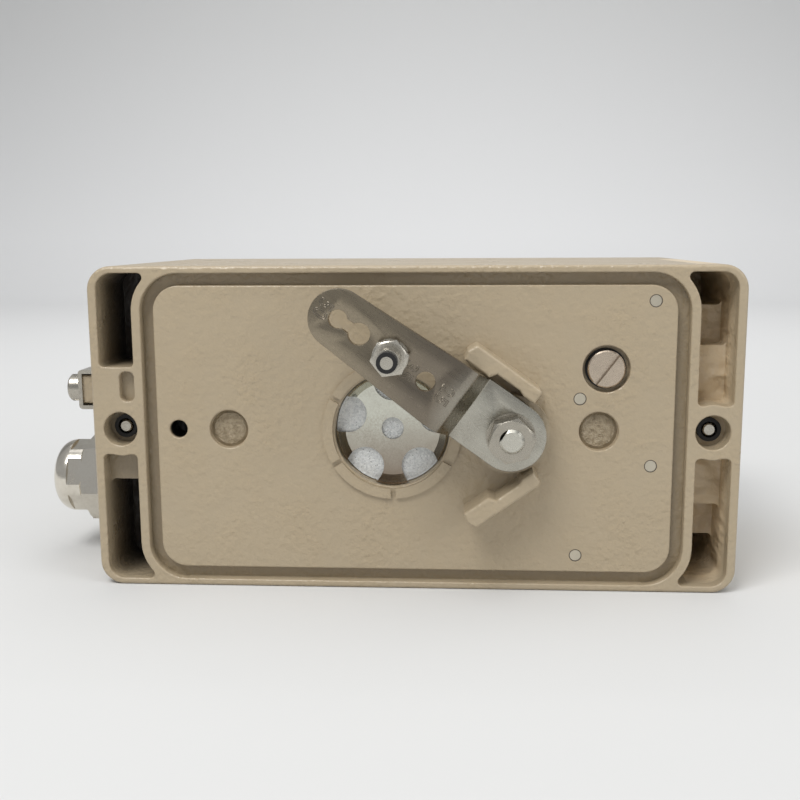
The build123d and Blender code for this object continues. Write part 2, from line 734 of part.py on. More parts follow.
    # Posts for the board, and ribs on the walls for the panel
    with BuildSketch(face_plane(BACK_WALL)):
        with Locations((board_mid, 0)):
            with GridLocations(*board_posts, 2, 2):
                Circle(BOARD_POST_R)
    extrude(amount=BACK_WALL - BOARD_DEPTH)
    with BuildSketch(face_plane(BACK_WALL)):
        with Locations((panel_mid, 0)):
            with GridLocations(panel_posts[0], compartment_h - rib_h, 2, 2):
                Rectangle(PANEL_POST_W, rib_h)
    extrude(amount=BACK_WALL - panel_depth)
    with BuildSketch(face_plane(panel_depth)):
        with Locations((panel_mid, 0)):
            with GridLocations(*panel_posts, 2, 2):
                Circle(M3_R + FIT_GAP)
    extrude(amount=M3_GRIP + PANEL_T, mode=Mode.SUBTRACT)
    with BuildSketch(face_plane(BOARD_DEPTH)):
        with Locations((board_mid, 0)):
            with GridLocations(*board_posts, 2, 2):
                Circle(M3_R + FIT_GAP)
    extrude(amount=M3_GRIP + BOARD_T, mode=Mode.SUBTRACT)
    # Threaded holes in the floor for the air blocks
    for screw_x, screw_z in converter_screws + booster_screws:
        disc(screw_x, screw_z, M3_R + FIT_GAP, BACK_WALL - BLOCK_SCREW_GRIP, BACK_WALL, Mode.SUBTRACT)
    # Cable entries on the left
    with BuildSketch(left_plane(0, ENTRY_Y, 0)):
        with GridLocations(2 * ENTRY_Z, 0, 2, 1):
            Circle(ENTRY_BORE_R)
    extrude(amount=-half_w + compartment_w / 2 - 1, mode=Mode.SUBTRACT)
    # Earth terminal boss
    with BuildSketch(left_plane(0, EARTH_Y, EARTH_Z)):
        RectangleRounded(EARTH_BOSS_W, EARTH_BOSS_W, EARTH_BOSS_R)
    extrude(amount=EARTH_BOSS_H)
    with BuildSketch(left_plane(EARTH_BOSS_H, EARTH_Y, EARTH_Z)):
        Circle(EARTH_SCREW_R + FIT_GAP)
    extrude(amount=-EARTH_SCREW_L - 1, mode=Mode.SUBTRACT)
    # Air ports on the right
    for port_z in (PORT_Z, -PORT_Z):
        hexagon(port_plane(0, port_z), INSERT_FLATS, -insert_end, mode=Mode.SUBTRACT)
    with BuildSketch(Plane.YZ.offset(half_w)):
        with Locations((PORT_Y, PORT_Z), (PORT_Y, -PORT_Z)):
            Circle(PORT_DUCT_R)
    extrude(amount=-half_w + compartment_w / 2 - 1, mode=Mode.SUBTRACT)
    # Threaded holes for the cover screws
    with BuildSketch(face_plane(BODY_D)):
        with GridLocations(2 * cover_screw_x, 2 * cover_screw_z, 2, 2):
            Circle(COVER_SCREW_R + FIT_GAP)
    extrude(amount=COVER_SCREW_DEPTH + 1, mode=Mode.SUBTRACT)
save(housing.part, "housing")

# Captive mounting screws with their seal rings
with BuildPart() as mounting_screws:
    for side in (-1, 1):
        screw_axis = depth_profile(side * screw_spacing / 2, 0)
        neck_start = SCREW_TIP_DEPTH + SCREW_TIP_L
        head_start = BODY_D
        turn(
            screw_axis,
            [
                (SCREW_TIP_DEPTH, 0),
                (SCREW_TIP_DEPTH, SCREW_TIP_R - SMALL_CHAMFER),
                (SCREW_TIP_DEPTH + SMALL_CHAMFER, SCREW_TIP_R),
                (neck_start + SCREW_TIP_R - SCREW_D / 2, SCREW_TIP_R),
                (neck_start, SCREW_D / 2),
                (head_start, SCREW_D / 2),
                (head_start, SCREW_HEAD_D / 2),
                (head_start + SCREW_HEAD_H, SCREW_HEAD_D / 2),
                (head_start + SCREW_HEAD_H, 0),
            ],
        )
        socket = Plane(
            origin=(side * screw_spacing / 2, head_start + SCREW_HEAD_H, 0), x_dir=(1, 0, 0), z_dir=(0, -1, 0)
        )
        hexagon(socket, SCREW_SOCKET_FLATS, SCREW_SOCKET_DEPTH, mode=Mode.SUBTRACT)
save(mounting_screws.part, "mounting_screws")

with BuildPart() as screw_seal_rings:
    for side in (-1, 1):
        ring_bore = SCREW_D / 2 + FIT_GAP
        ring_near = SCREW_COUNTERBORE_DEPTH - SEAL_RING_T
        turn(
            depth_profile(side * screw_spacing / 2, 0),
            [
                (ring_near, ring_bore),
                (ring_near, ring_bore + SEAL_RING_WALL),
                (SCREW_COUNTERBORE_DEPTH, ring_bore + SEAL_RING_WALL),
                (SCREW_COUNTERBORE_DEPTH, ring_bore),
            ],
        )
save(screw_seal_rings.part, "screw_seal_rings")

# Lever shaft: thread with a flat, collar, plain shank in the bushes, groove for the circlip
shaft_axis = depth_profile(SHAFT_X, 0)
collar_near = -LEVER_HEIGHT
collar_far = SHAFT_COLLAR_T - LEVER_HEIGHT
circlip_near = BACK_WALL + BUSH_FLANGE_T + CIRCLIP_PLAY
circlip_far = circlip_near + CIRCLIP_T
groove_r = SHAFT_R - CIRCLIP_GROOVE
with BuildPart() as lever_shaft:
    turn(
        shaft_axis,
        [
            (-SHAFT_TIP, 0),
            (-SHAFT_TIP, SHAFT_THREAD_R - SHAFT_TIP_CHAMFER),
            (SHAFT_TIP_CHAMFER - SHAFT_TIP, SHAFT_THREAD_R),
            (collar_near, SHAFT_THREAD_R),
            (collar_near, SHAFT_COLLAR_R),
            (collar_far, SHAFT_COLLAR_R),
            (collar_far, SHAFT_R),
            (circlip_near, SHAFT_R),
            (circlip_near, groove_r),
            (circlip_far, groove_r),
            (circlip_far, SHAFT_R),
            (SHAFT_END, SHAFT_R),
            (SHAFT_END, 0),
        ],
    )
    with BuildSketch(lever_plane(LEVER_HEIGHT)):
        with Locations((SHAFT_FLAT + SHAFT_THREAD_R, 0)):
            Rectangle(2 * SHAFT_THREAD_R, 3 * SHAFT_THREAD_R)
    extrude(amount=SHAFT_TIP - LEVER_HEIGHT, mode=Mode.SUBTRACT)
save(lever_shaft.part, "lever_shaft")

# Flanged bushes at the two ends of the bore, and the seal between them
with BuildPart() as shaft_bush_outer:
    disc(SHAFT_X, 0, BUSH_R, PLATE_SINK, PLATE_SINK + BUSH_L)
    disc(SHAFT_X, 0, BUSH_FLANGE_R, PLATE_SINK - BUSH_FLANGE_T, PLATE_SINK)
    disc(SHAFT_X, 0, SHAFT_R + RUNNING_GAP, PLATE_SINK - BUSH_FLANGE_T, PLATE_SINK + BUSH_L, Mode.SUBTRACT)
save(shaft_bush_outer.part, "shaft_bush_outer")

with BuildPart() as shaft_bush_inner:
    disc(SHAFT_X, 0, BUSH_R, BACK_WALL - BUSH_L, BACK_WALL)
    disc(SHAFT_X, 0, BUSH_FLANGE_R, BACK_WALL, BACK_WALL + BUSH_FLANGE_T)
    disc(SHAFT_X, 0, SHAFT_R + RUNNING_GAP, BACK_WALL - BUSH_L, BACK_WALL + BUSH_FLANGE_T, Mode.SUBTRACT)
save(shaft_bush_inner.part, "shaft_bush_inner")

seal_cord_r = (BUSH_R - SHAFT_R - RUNNING_GAP) / 2
with BuildPart() as shaft_seal:
    with BuildSketch(shaft_axis):
        with Locations(((PLATE_SINK + BACK_WALL) / 2, SHAFT_R + RUNNING_GAP + seal_cord_r)):
            Circle(seal_cord_r)
    revolve(axis=Axis(shaft_axis.origin, shaft_axis.x_dir))
save(shaft_seal.part, "shaft_seal")

with BuildPart() as shaft_circlip:
    disc(SHAFT_X, 0, CIRCLIP_R, circlip_near, circlip_far)
    disc(SHAFT_X, 0, groove_r + FIT_GAP, circlip_near, circlip_far, Mode.SUBTRACT)
    block(
        SHAFT_X,
        -CIRCLIP_R,
        CIRCLIP_MOUTH,
        2 * CIRCLIP_R,
        circlip_near,
        circlip_far,
        Mode.SUBTRACT,
    )
save(shaft_circlip.part, "shaft_circlip")

# Magnet holder on the inner end of the shaft, with the magnet that the sensor reads
holder_far = MAGNET_HOLDER_START + MAGNET_HOLDER_L
with BuildPart() as magnet_holder:
    disc(SHAFT_X, 0, MAGNET_HOLDER_R, MAGNET_HOLDER_START, holder_far)
    disc(SHAFT_X, 0, SHAFT_R + FIT_GAP, MAGNET_HOLDER_START, SHAFT_END, Mode.SUBTRACT)
    disc(SHAFT_X, 0, MAGNET_R + FIT_GAP, holder_far - MAGNET_T, holder_far, Mode.SUBTRACT)
save(magnet_holder.part, "magnet_holder")

with BuildPart() as sensor_magnet:
    disc(SHAFT_X, 0, MAGNET_R, holder_far - MAGNET_T, holder_far)
save(sensor_magnet.part, "sensor_magnet")

# Return spring in the hub, round the shaft
with BuildPart() as return_spring:
    spring_start = PLATE_SINK - BUSH_FLANGE_T - SPRING_WIRE_R - RUNNING_GAP
    with BuildLine() as coil:
        Helix(
            SPRING_PITCH,
            SPRING_PITCH * SPRING_TURNS,
            SPRING_COIL_R,
            center=(SHAFT_X, spring_start, 0),
            direction=(0, -1, 0),
        )
    with BuildSketch(Plane(origin=coil.line @ 0, z_dir=coil.line % 0)):
        Circle(SPRING_WIRE_R)
    sweep()
save(return_spring.part, "return_spring")

# Lever: a stepped strip, cut to the outline seen from behind
bend_shift = LEVER_T * tan(atan2(LEVER_STEP, LEVER_BEND_RUN) / 2)
bend_end = LEVER_BEND_START + LEVER_BEND_RUN
lever_side = Plane(
    origin=(SHAFT_X, 0, 0), x_dir=lever_along, z_dir=(sin(radians(LEVER_ANGLE)), 0, cos(radians(LEVER_ANGLE)))
)
with BuildPart() as lever:
    with BuildSketch(lever_side) as strip:
        with BuildLine():
            Polyline(
                [
                    (-LEVER_HALF_W - 1, LEVER_HEIGHT),
                    (LEVER_BEND_START, LEVER_HEIGHT),
                    (bend_end, LEVER_HEIGHT + LEVER_STEP),
                    (HOLE_FAR + LEVER_TIP_R + 1, LEVER_HEIGHT + LEVER_STEP),
                    (HOLE_FAR + LEVER_TIP_R + 1, lever_outer_top),
                    (bend_end - bend_shift, lever_outer_top),
                    (LEVER_BEND_START - bend_shift, lever_top),
                    (-LEVER_HALF_W - 1, lever_top),
                ],
                close=True,
            )
        make_face()
        outer_bends = [
            strip.vertices().sort_by_distance((LEVER_BEND_START, LEVER_HEIGHT))[0],
            strip.vertices().sort_by_distance((bend_end - bend_shift, lever_outer_top))[0],
        ]
        inner_bends = [
            strip.vertices().sort_by_distance((bend_end, LEVER_HEIGHT + LEVER_STEP))[0],
            strip.vertices().sort_by_distance((LEVER_BEND_START - bend_shift, lever_top))[0],
        ]
        fillet(outer_bends, LEVER_BEND_R)
        fillet(inner_bends, LEVER_BEND_R - LEVER_T)
    extrude(amount=LEVER_HALF_W + 1, both=True)
    with BuildSketch(lever_plane(0)):
        with BuildLine():
            CenterArc((0, 0), LEVER_HALF_W, 0, 360)
            CenterArc((LEVER_TAPER_START, 0), LEVER_HALF_W, 0, 360)
            CenterArc((HOLE_FAR, 0), LEVER_TIP_R, 0, 360)
        make_hull()
    extrude(amount=lever_outer_top + 1, mode=Mode.INTERSECT)
    # Shaft hole with a flat
    with BuildSketch(lever_plane(0)):
        Circle(SHAFT_THREAD_R + FIT_GAP)
        with Locations((SHAFT_FLAT + FIT_GAP + SHAFT_THREAD_R, 0)):
            Rectangle(2 * SHAFT_THREAD_R, 3 * SHAFT_THREAD_R, mode=Mode.SUBTRACT)
    extrude(amount=lever_outer_top, mode=Mode.SUBTRACT)
    # Near hole, pin hole, and far hole with its keyhole
    with BuildSketch(lever_plane(0)):
        with Locations((HOLE_NEAR, 0)):
            Circle(HOLE_NEAR_R)
        with Locations((HOLE_PIN, 0)):
            Circle(PIN_STUD_R + FIT_GAP)
        with Locations((HOLE_FAR - KEYHOLE_OFFSET, 0)):
            Circle(KEYHOLE_R)
        with Locations((HOLE_FAR, 0)):
            Circle(HOLE_FAR_R)
        with Locations((HOLE_FAR - KEYHOLE_OFFSET / 2, 0)):
            Rectangle(KEYHOLE_OFFSET, KEYHOLE_NECK)
    extrude(amount=lever_outer_top + 1, mode=Mode.SUBTRACT)
save(lever.part, "lever")

# Washer and nut that hold the lever
with BuildPart() as lever_washer:
    disc(SHAFT_X, 0, WASHER_R, -lever_top - WASHER_T, -lever_top)
    disc(SHAFT_X, 0, SHAFT_THREAD_R + FIT_GAP, -lever_top - WASHER_T, -lever_top, Mode.SUBTRACT)
save(lever_washer.part, "lever_washer")

nut_base = lever_top + WASHER_T
with BuildPart() as lever_nut:
    hexagon(shaft_plane(-nut_base), NUT_FLATS, NUT_H, NUT_TURN)
    turn(shaft_axis, hex_blank(NUT_FLATS, -nut_base - NUT_H, -nut_base), Mode.INTERSECT)
    disc(SHAFT_X, 0, SHAFT_THREAD_R + FIT_GAP, -nut_base - NUT_H, -nut_base, Mode.SUBTRACT)
save(lever_nut.part, "lever_nut")

# Follower pin in the lever's middle hole
pin_x = SHAFT_X + HOLE_PIN * lever_along[0]
pin_z = HOLE_PIN * lever_along[2]
pin_axis = depth_profile(pin_x, pin_z)
pin_tip = lever_outer_top + PIN_LENGTH
outer_plate_back = LEVER_HEIGHT + LEVER_STEP
with BuildPart() as follower_pin:
    foot_top = lever_outer_top + PIN_FOOT_T
    pin_base = Plane(origin=(pin_x, -foot_top, pin_z), x_dir=(1, 0, 0), z_dir=(0, -1, 0))
    hexagon(pin_base, PIN_HEX_FLATS, PIN_HEX_H, PIN_HEX_TURN)
    turn(pin_axis, hex_blank(PIN_HEX_FLATS, -foot_top - PIN_HEX_H, -foot_top), Mode.INTERSECT)
    disc(pin_x, pin_z, PIN_FOOT_R, -foot_top - MERGE, -lever_outer_top)
    disc(pin_x, pin_z, PIN_SHANK_R, PIN_RING_L - pin_tip, -lever_outer_top)
    disc(pin_x, pin_z, PIN_CORE_R, -pin_tip, -lever_outer_top)
    disc(pin_x, pin_z, PIN_STUD_R, -lever_outer_top, PIN_NUT_H + PIN_STUD_END - outer_plate_back)
save(follower_pin.part, "follower_pin")

with BuildPart() as pin_end_ring:
    disc(pin_x, pin_z, PIN_RING_R, -pin_tip, PIN_RING_L - pin_tip)
    disc(pin_x, pin_z, PIN_CORE_R + FIT_GAP, -pin_tip, PIN_RING_L - pin_tip, Mode.SUBTRACT)
save(pin_end_ring.part, "pin_end_ring")

with BuildPart() as pin_nut:
    nut_plane = Plane(origin=(pin_x, PIN_NUT_H - outer_plate_back, pin_z), x_dir=(1, 0, 0), z_dir=(0, -1, 0))
    hexagon(nut_plane, PIN_NUT_FLATS, PIN_NUT_H, PIN_HEX_TURN)
    turn(pin_axis, hex_blank(PIN_NUT_FLATS, -outer_plate_back, PIN_NUT_H - outer_plate_back), Mode.INTERSECT)
    disc(pin_x, pin_z, PIN_STUD_R + FIT_GAP, -outer_plate_back, PIN_NUT_H - outer_plate_back, Mode.SUBTRACT)
save(pin_nut.part, "pin_nut")

# Vent: filter foam behind a sprung star disc
foam_near = VENT_DEPTH - FOAM_T
with BuildPart() as vent_foam:
    disc(VENT_X, 0, VENT_R - MOVING_GAP, foam_near, VENT_DEPTH)
save(vent_foam.part, "vent_foam")

with BuildPart() as vent_retainer:
    rim_near = foam_near - STAR_RIM_H
    turn(
        depth_profile(VENT_X, 0),
        [
            (foam_near, STAR_HOLE_R),
            (foam_near, STAR_FLAT_R + STAR_T),
            (rim_near, STAR_RIM_R),
            (rim_near - STAR_T / 2, STAR_RIM_R - STAR_T),
            (foam_near - STAR_T, STAR_FLAT_R),
            (foam_near - STAR_T, STAR_HOLE_R),
        ],
    )
    with BuildSketch(face_plane(0)):
        with Locations((VENT_X, 0)):
            with PolarLocations(STAR_SCALLOP_PLACE_R, STAR_ARMS, start_angle=STAR_TURN):
                Circle(STAR_SCALLOP_R)
    extrude(amount=-VENT_DEPTH, mode=Mode.SUBTRACT)
save(vent_retainer.part, "vent_retainer")

# Plugs that close the drilled air channels
with BuildPart() as channel_plugs:
    for plug_x, plug_z in channel_plug_places:
        disc(plug_x, plug_z, CHANNEL_PLUG_D / 2, PLATE_SINK + PLUG_SINK, PLATE_SINK + CHANNEL_PLUG_L)
save(channel_plugs.part, "channel_plugs")

# Slotted screw plug and its seal
seat_depth = PLATE_SINK + PLUG_RECESS_DEPTH
with BuildPart() as plug_screw:
    head_far = seat_depth - PLUG_SEAL_T
    disc(PLUG_X, PLUG_Z, PLUG_HEAD_R, head_far - PLUG_HEAD_H, head_far)
    chamfer(plug_screw.faces().sort_by(Axis.Y)[0].edges(), SMALL_CHAMFER)
    disc(PLUG_X, PLUG_Z, PLUG_THREAD_R, head_far, seat_depth + PLUG_THREAD_L - MOVING_GAP)
    with BuildSketch(face_plane(head_far - PLUG_HEAD_H)):
        with Locations((PLUG_X, PLUG_Z)):
            Rectangle(3 * PLUG_HEAD_R, PLUG_SLOT_W, rotation=PLUG_SLOT_ANGLE)
    extrude(amount=-PLUG_SLOT_DEPTH, mode=Mode.SUBTRACT)
save(plug_screw.part, "plug_screw")

with BuildPart() as plug_seal:
    disc(PLUG_X, PLUG_Z, PLUG_HEAD_R + PLUG_SEAL_T / 2, seat_depth - PLUG_SEAL_T, seat_depth)
    disc(PLUG_X, PLUG_Z, PLUG_THREAD_R + FIT_GAP, seat_depth - PLUG_SEAL_T, seat_depth, Mode.SUBTRACT)
save(plug_seal.part, "plug_seal")

# Earth terminal: U-shaped clamp, spring washer and slotted screw on the square boss
earth_axis = left_profile(EARTH_Y, EARTH_Z)
clamp_outer = EARTH_BOSS_W + 2 * EARTH_CLAMP_GAP + 2 * EARTH_CLAMP_T
with BuildPart() as earth_clamp:
    with BuildSketch(left_plane(EARTH_BOSS_H + EARTH_CLAMP_T, EARTH_Y, EARTH_Z)):
        Rectangle(clamp_outer, EARTH_CLAMP_W)
    extrude(amount=-EARTH_CLAMP_T - EARTH_CLAMP_LEG)
    clamp_corners = earth_clamp.faces().sort_by(Axis.X)[0].edges().filter_by(Axis.Y)
    fillet(clamp_corners, EARTH_CLAMP_T)
    with BuildSketch(left_plane(EARTH_BOSS_H, EARTH_Y, EARTH_Z)):
        Rectangle(clamp_outer - 2 * EARTH_CLAMP_T, 2 * EARTH_CLAMP_W)
    extrude(amount=-EARTH_CLAMP_LEG, mode=Mode.SUBTRACT)
    with BuildSketch(left_plane(EARTH_BOSS_H, EARTH_Y, EARTH_Z)):
        Circle(EARTH_SCREW_R + FIT_GAP)
    extrude(amount=EARTH_CLAMP_T, mode=Mode.SUBTRACT)
save(earth_clamp.part, "earth_clamp")

earth_washer_near = EARTH_BOSS_H + EARTH_CLAMP_T
with BuildPart() as earth_spring_washer:
    with BuildSketch(left_plane(earth_washer_near, EARTH_Y, EARTH_Z)):
        Circle(EARTH_WASHER_R)
        Circle(EARTH_SCREW_R + FIT_GAP, mode=Mode.SUBTRACT)
        with Locations((0, EARTH_WASHER_R)):
            Rectangle(EARTH_WASHER_T, 2 * EARTH_WASHER_R, rotation=EARTH_SPLIT_TURN, mode=Mode.SUBTRACT)
    extrude(amount=EARTH_WASHER_T)
save(earth_spring_washer.part, "earth_spring_washer")

earth_head_near = earth_washer_near + EARTH_WASHER_T
with BuildPart() as earth_screw:
    turn(
        earth_axis,
        [
            (EARTH_BOSS_H - EARTH_SCREW_L, 0),
            (EARTH_BOSS_H - EARTH_SCREW_L, EARTH_SCREW_R),
            (earth_head_near, EARTH_SCREW_R),
            (earth_head_near, EARTH_HEAD_R),
            (earth_head_near + EARTH_HEAD_H - EARTH_HEAD_CHAMFER, EARTH_HEAD_R),
            (earth_head_near + EARTH_HEAD_H, EARTH_HEAD_R - EARTH_HEAD_CHAMFER),
            (earth_head_near + EARTH_HEAD_H, 0),
        ],
    )
    with BuildSketch(left_plane(earth_head_near + EARTH_HEAD_H, EARTH_Y, EARTH_Z)):
        Rectangle(3 * EARTH_HEAD_R, EARTH_SLOT_W, rotation=EARTH_SLOT_TURN)
    extrude(amount=-EARTH_SLOT_DEPTH, mode=Mode.SUBTRACT)
save(earth_screw.part, "earth_screw")

# Cable gland in the lower entry
gland_axis = left_profile(ENTRY_Y, -ENTRY_Z)
hex_near = ENTRY_GASKET_T
gland_hex_near = hex_near + GLAND_SHOULDER_L
hex_far = gland_hex_near + GLAND_HEX_H
neck_far = hex_far + GLAND_NECK_L
thread_r = ENTRY_BORE_R - FIT_GAP
with BuildPart() as gland_body:
    hexagon(left_plane(gland_hex_near, ENTRY_Y, -ENTRY_Z), GLAND_HEX_FLATS, GLAND_HEX_H, GLAND_TURN)
    turn(gland_axis, hex_blank(GLAND_HEX_FLATS, gland_hex_near, hex_far), Mode.INTERSECT)
    turn(
        gland_axis,
        [(hex_near, 0), (hex_near, GLAND_SHOULDER_R), (gland_hex_near, GLAND_SHOULDER_R), (gland_hex_near, 0)],
    )
    turn(gland_axis, [(-ENTRY_THREAD_L, 0), (-ENTRY_THREAD_L, thread_r), (hex_near, thread_r), (hex_near, 0)])
    turn(gland_axis, [(hex_far, 0), (hex_far, GLAND_NECK_R), (neck_far, GLAND_NECK_R), (neck_far, 0)])
    with BuildSketch(left_plane(-ENTRY_THREAD_L, ENTRY_Y, -ENTRY_Z)):
        Circle(GLAND_PASSAGE_R)
    extrude(amount=ENTRY_THREAD_L + neck_far, mode=Mode.SUBTRACT)
save(gland_body.part, "gland_body")

with BuildPart() as gland_gasket:
    with BuildSketch(left_plane(0, ENTRY_Y, -ENTRY_Z)):
        Circle(ENTRY_GASKET_R)
        Circle(ENTRY_BORE_R, mode=Mode.SUBTRACT)
    extrude(amount=ENTRY_GASKET_T)
save(gland_gasket.part, "gland_gasket")

cap_near = hex_far + GLAND_CAP_GAP
cap_far = cap_near + GLAND_CAP_L
seal_far = neck_far + GLAND_SEAL_L
with BuildPart() as gland_cap:
    with BuildSketch(gland_axis) as cap_outline:
        with BuildLine():
            Polyline(
                [
                    (cap_near, 0),
                    (cap_near, GLAND_CAP_R),
                    (cap_far, GLAND_CAP_R),
                    (cap_far, 0),
                ],
                close=True,
            )
        make_face()
        fillet(cap_outline.vertices().sort_by_distance((cap_far, GLAND_CAP_R))[0], GLAND_DOME_R)
        chamfer(cap_outline.vertices().sort_by_distance((cap_near, GLAND_CAP_R))[0], GLAND_SKIRT_CHAMFER)
    revolve(axis=Axis(gland_axis.origin, gland_axis.x_dir))
    with BuildSketch(left_plane(cap_near, ENTRY_Y, -ENTRY_Z)):
        Circle(GLAND_CAP_R + 1)
        RegularPolygon(GLAND_CAP_FLATS / 2, 6, major_radius=False, rotation=GLAND_TURN, mode=Mode.SUBTRACT)
    extrude(amount=GLAND_FLAT_L, mode=Mode.SUBTRACT)
    with BuildSketch(left_plane(cap_near, ENTRY_Y, -ENTRY_Z)):
        Circle(GLAND_NECK_R + FIT_GAP)
    extrude(amount=seal_far + GLAND_SEAL_GAP - cap_near, mode=Mode.SUBTRACT)
    with BuildSketch(left_plane(cap_near, ENTRY_Y, -ENTRY_Z)):
        Circle(GLAND_CAP_HOLE_R)
    extrude(amount=GLAND_CAP_L, mode=Mode.SUBTRACT)
save(gland_cap.part, "gland_cap")

with BuildPart() as gland_seal:
    with BuildSketch(left_plane(neck_far, ENTRY_Y, -ENTRY_Z)):
        Circle(GLAND_NECK_R)
        Circle(GLAND_SEAL_BORE_R, mode=Mode.SUBTRACT)
    extrude(amount=GLAND_SEAL_L)
save(gland_seal.part, "gland_seal")

# Blanking plug in the upper entry
with BuildPart() as blanking_plug:
    turn(
        left_profile(ENTRY_Y, ENTRY_Z),
        [
            (-ENTRY_THREAD_L, 0),
            (-ENTRY_THREAD_L, thread_r),
            (hex_near, thread_r),
            (hex_near, BLANK_HEAD_R),
            (hex_near + BLANK_HEAD_H - BLANK_HEAD_CHAMFER, BLANK_HEAD_R),
            (hex_near + BLANK_HEAD_H, BLANK_HEAD_R - BLANK_HEAD_CHAMFER),
            (hex_near + BLANK_HEAD_H, 0),
        ],
    )
    socket_plane = left_plane(hex_near + BLANK_HEAD_H, ENTRY_Y, ENTRY_Z)
    hexagon(socket_plane, BLANK_SOCKET_FLATS, -BLANK_SOCKET_DEPTH, mode=Mode.SUBTRACT)
save(blanking_plug.part, "blanking_plug")

with BuildPart() as blanking_gasket:
    with BuildSketch(left_plane(0, ENTRY_Y, ENTRY_Z)):
        Circle(ENTRY_GASKET_R)
        Circle(ENTRY_BORE_R, mode=Mode.SUBTRACT)
    extrude(amount=ENTRY_GASKET_T)
save(blanking_gasket.part, "blanking_gasket")

# Threaded inserts cast into the air ports
with BuildPart() as port_inserts:
    for port_z in (PORT_Z, -PORT_Z):
        hexagon(port_plane(-INSERT_SINK, port_z), INSERT_FLATS, -PORT_BORE_L)
        with BuildSketch(port_plane(-INSERT_SINK, port_z)):
            Circle(PORT_BORE_R)
        extrude(amount=-PORT_BORE_L, mode=Mode.SUBTRACT)
save(port_inserts.part, "port_inserts")

# Strainers in the ducts behind the air ports
with BuildPart() as port_strainers:
    for port_z in (PORT_Z, -PORT_Z):
        with BuildSketch(port_plane(-insert_end, port_z)):
            Circle(PORT_DUCT_R - FIT_GAP)
            Circle(STRAINER_HOLE_R, mode=Mode.SUBTRACT)
            with PolarLocations(STRAINER_PITCH, STRAINER_HOLES):
                Circle(STRAINER_HOLE_R, mode=Mode.SUBTRACT)
        extrude(amount=-STRAINER_T)
save(port_strainers.part, "port_strainers")

# Front cover with its window, gasket and screws
cover_near = BODY_D + COVER_GAP
gasket_out_w = BODY_W - 2 * GASKET_MARGIN
gasket_out_h = BODY_H - 2 * GASKET_MARGIN
cavity_far = front_y - COVER_WALL
with BuildPart() as front_cover:
    with BuildSketch(face_plane(cover_near)):
        RectangleRounded(BODY_W, BODY_H, BODY_CORNER_R)
    extrude(amount=-COVER_D)
    fillet(front_cover.faces().sort_by(Axis.Y)[-1].edges(), COVER_EDGE_R)
    with BuildSketch(face_plane(cover_near)):
        RectangleRounded(BODY_W - 2 * COVER_WALL, BODY_H - 2 * COVER_WALL, BODY_CORNER_R - COVER_WALL)
    extrude(amount=COVER_WALL - COVER_D, mode=Mode.SUBTRACT)
    with BuildSketch(face_plane(cover_near)):
        with GridLocations(2 * cover_screw_x, 2 * cover_screw_z, 2, 2):
            Circle(COVER_BOSS_R)
    extrude(amount=COVER_WALL - COVER_D)
    with BuildSketch(face_plane(cover_near)):
        with GridLocations(2 * cover_screw_x, 2 * cover_screw_z, 2, 2):
            Circle(COVER_SCREW_R + FIT_GAP)
    extrude(amount=-COVER_D, mode=Mode.SUBTRACT)
    with BuildSketch(face_plane(front_y)):
        with GridLocations(2 * cover_screw_x, 2 * cover_screw_z, 2, 2):
            Circle(COVER_SCREW_HEAD_R + MOVING_GAP)
    extrude(amount=COVER_HEAD_SINK, mode=Mode.SUBTRACT)
    with BuildSketch(face_plane(cover_near)):
        RectangleRounded(gasket_out_w, gasket_out_h, BODY_CORNER_R - GASKET_MARGIN)
        RectangleRounded(
            gasket_out_w - 2 * GASKET_W,
            gasket_out_h - 2 * GASKET_W,
            BODY_CORNER_R - GASKET_MARGIN - GASKET_W,
            mode=Mode.SUBTRACT,
        )
    extrude(amount=COVER_GAP - GASKET_T, mode=Mode.SUBTRACT)
    with BuildSketch(face_plane(front_y)):
        with Locations((display_x, DISPLAY_Z)):
            RectangleRounded(window_w, WINDOW_H, WINDOW_R)
    extrude(amount=COVER_WALL, mode=Mode.SUBTRACT)
save(front_cover.part, "front_cover")

with BuildPart() as cover_gasket:
    with BuildSketch(face_plane(BODY_D)):
        RectangleRounded(gasket_out_w, gasket_out_h, BODY_CORNER_R - GASKET_MARGIN)
        RectangleRounded(
            gasket_out_w - 2 * GASKET_W,
            gasket_out_h - 2 * GASKET_W,
            BODY_CORNER_R - GASKET_MARGIN - GASKET_W,
            mode=Mode.SUBTRACT,
        )
    extrude(amount=-GASKET_T)
save(cover_gasket.part, "cover_gasket")

with BuildPart() as cover_window:
    with BuildSketch(face_plane(cavity_far - WINDOW_T)):
        with Locations((display_x, DISPLAY_Z)):
            RectangleRounded(window_w + 2 * WINDOW_LIP, WINDOW_H + 2 * WINDOW_LIP, WINDOW_R)
    extrude(amount=-WINDOW_T)
    with BuildSketch(face_plane(cavity_far)):
        with Locations((display_x, DISPLAY_Z)):
            RectangleRounded(window_w - 2 * WINDOW_GAP, WINDOW_H - 2 * WINDOW_GAP, WINDOW_R - WINDOW_GAP)
    extrude(amount=WINDOW_SINK - COVER_WALL)
save(cover_window.part, "cover_window")

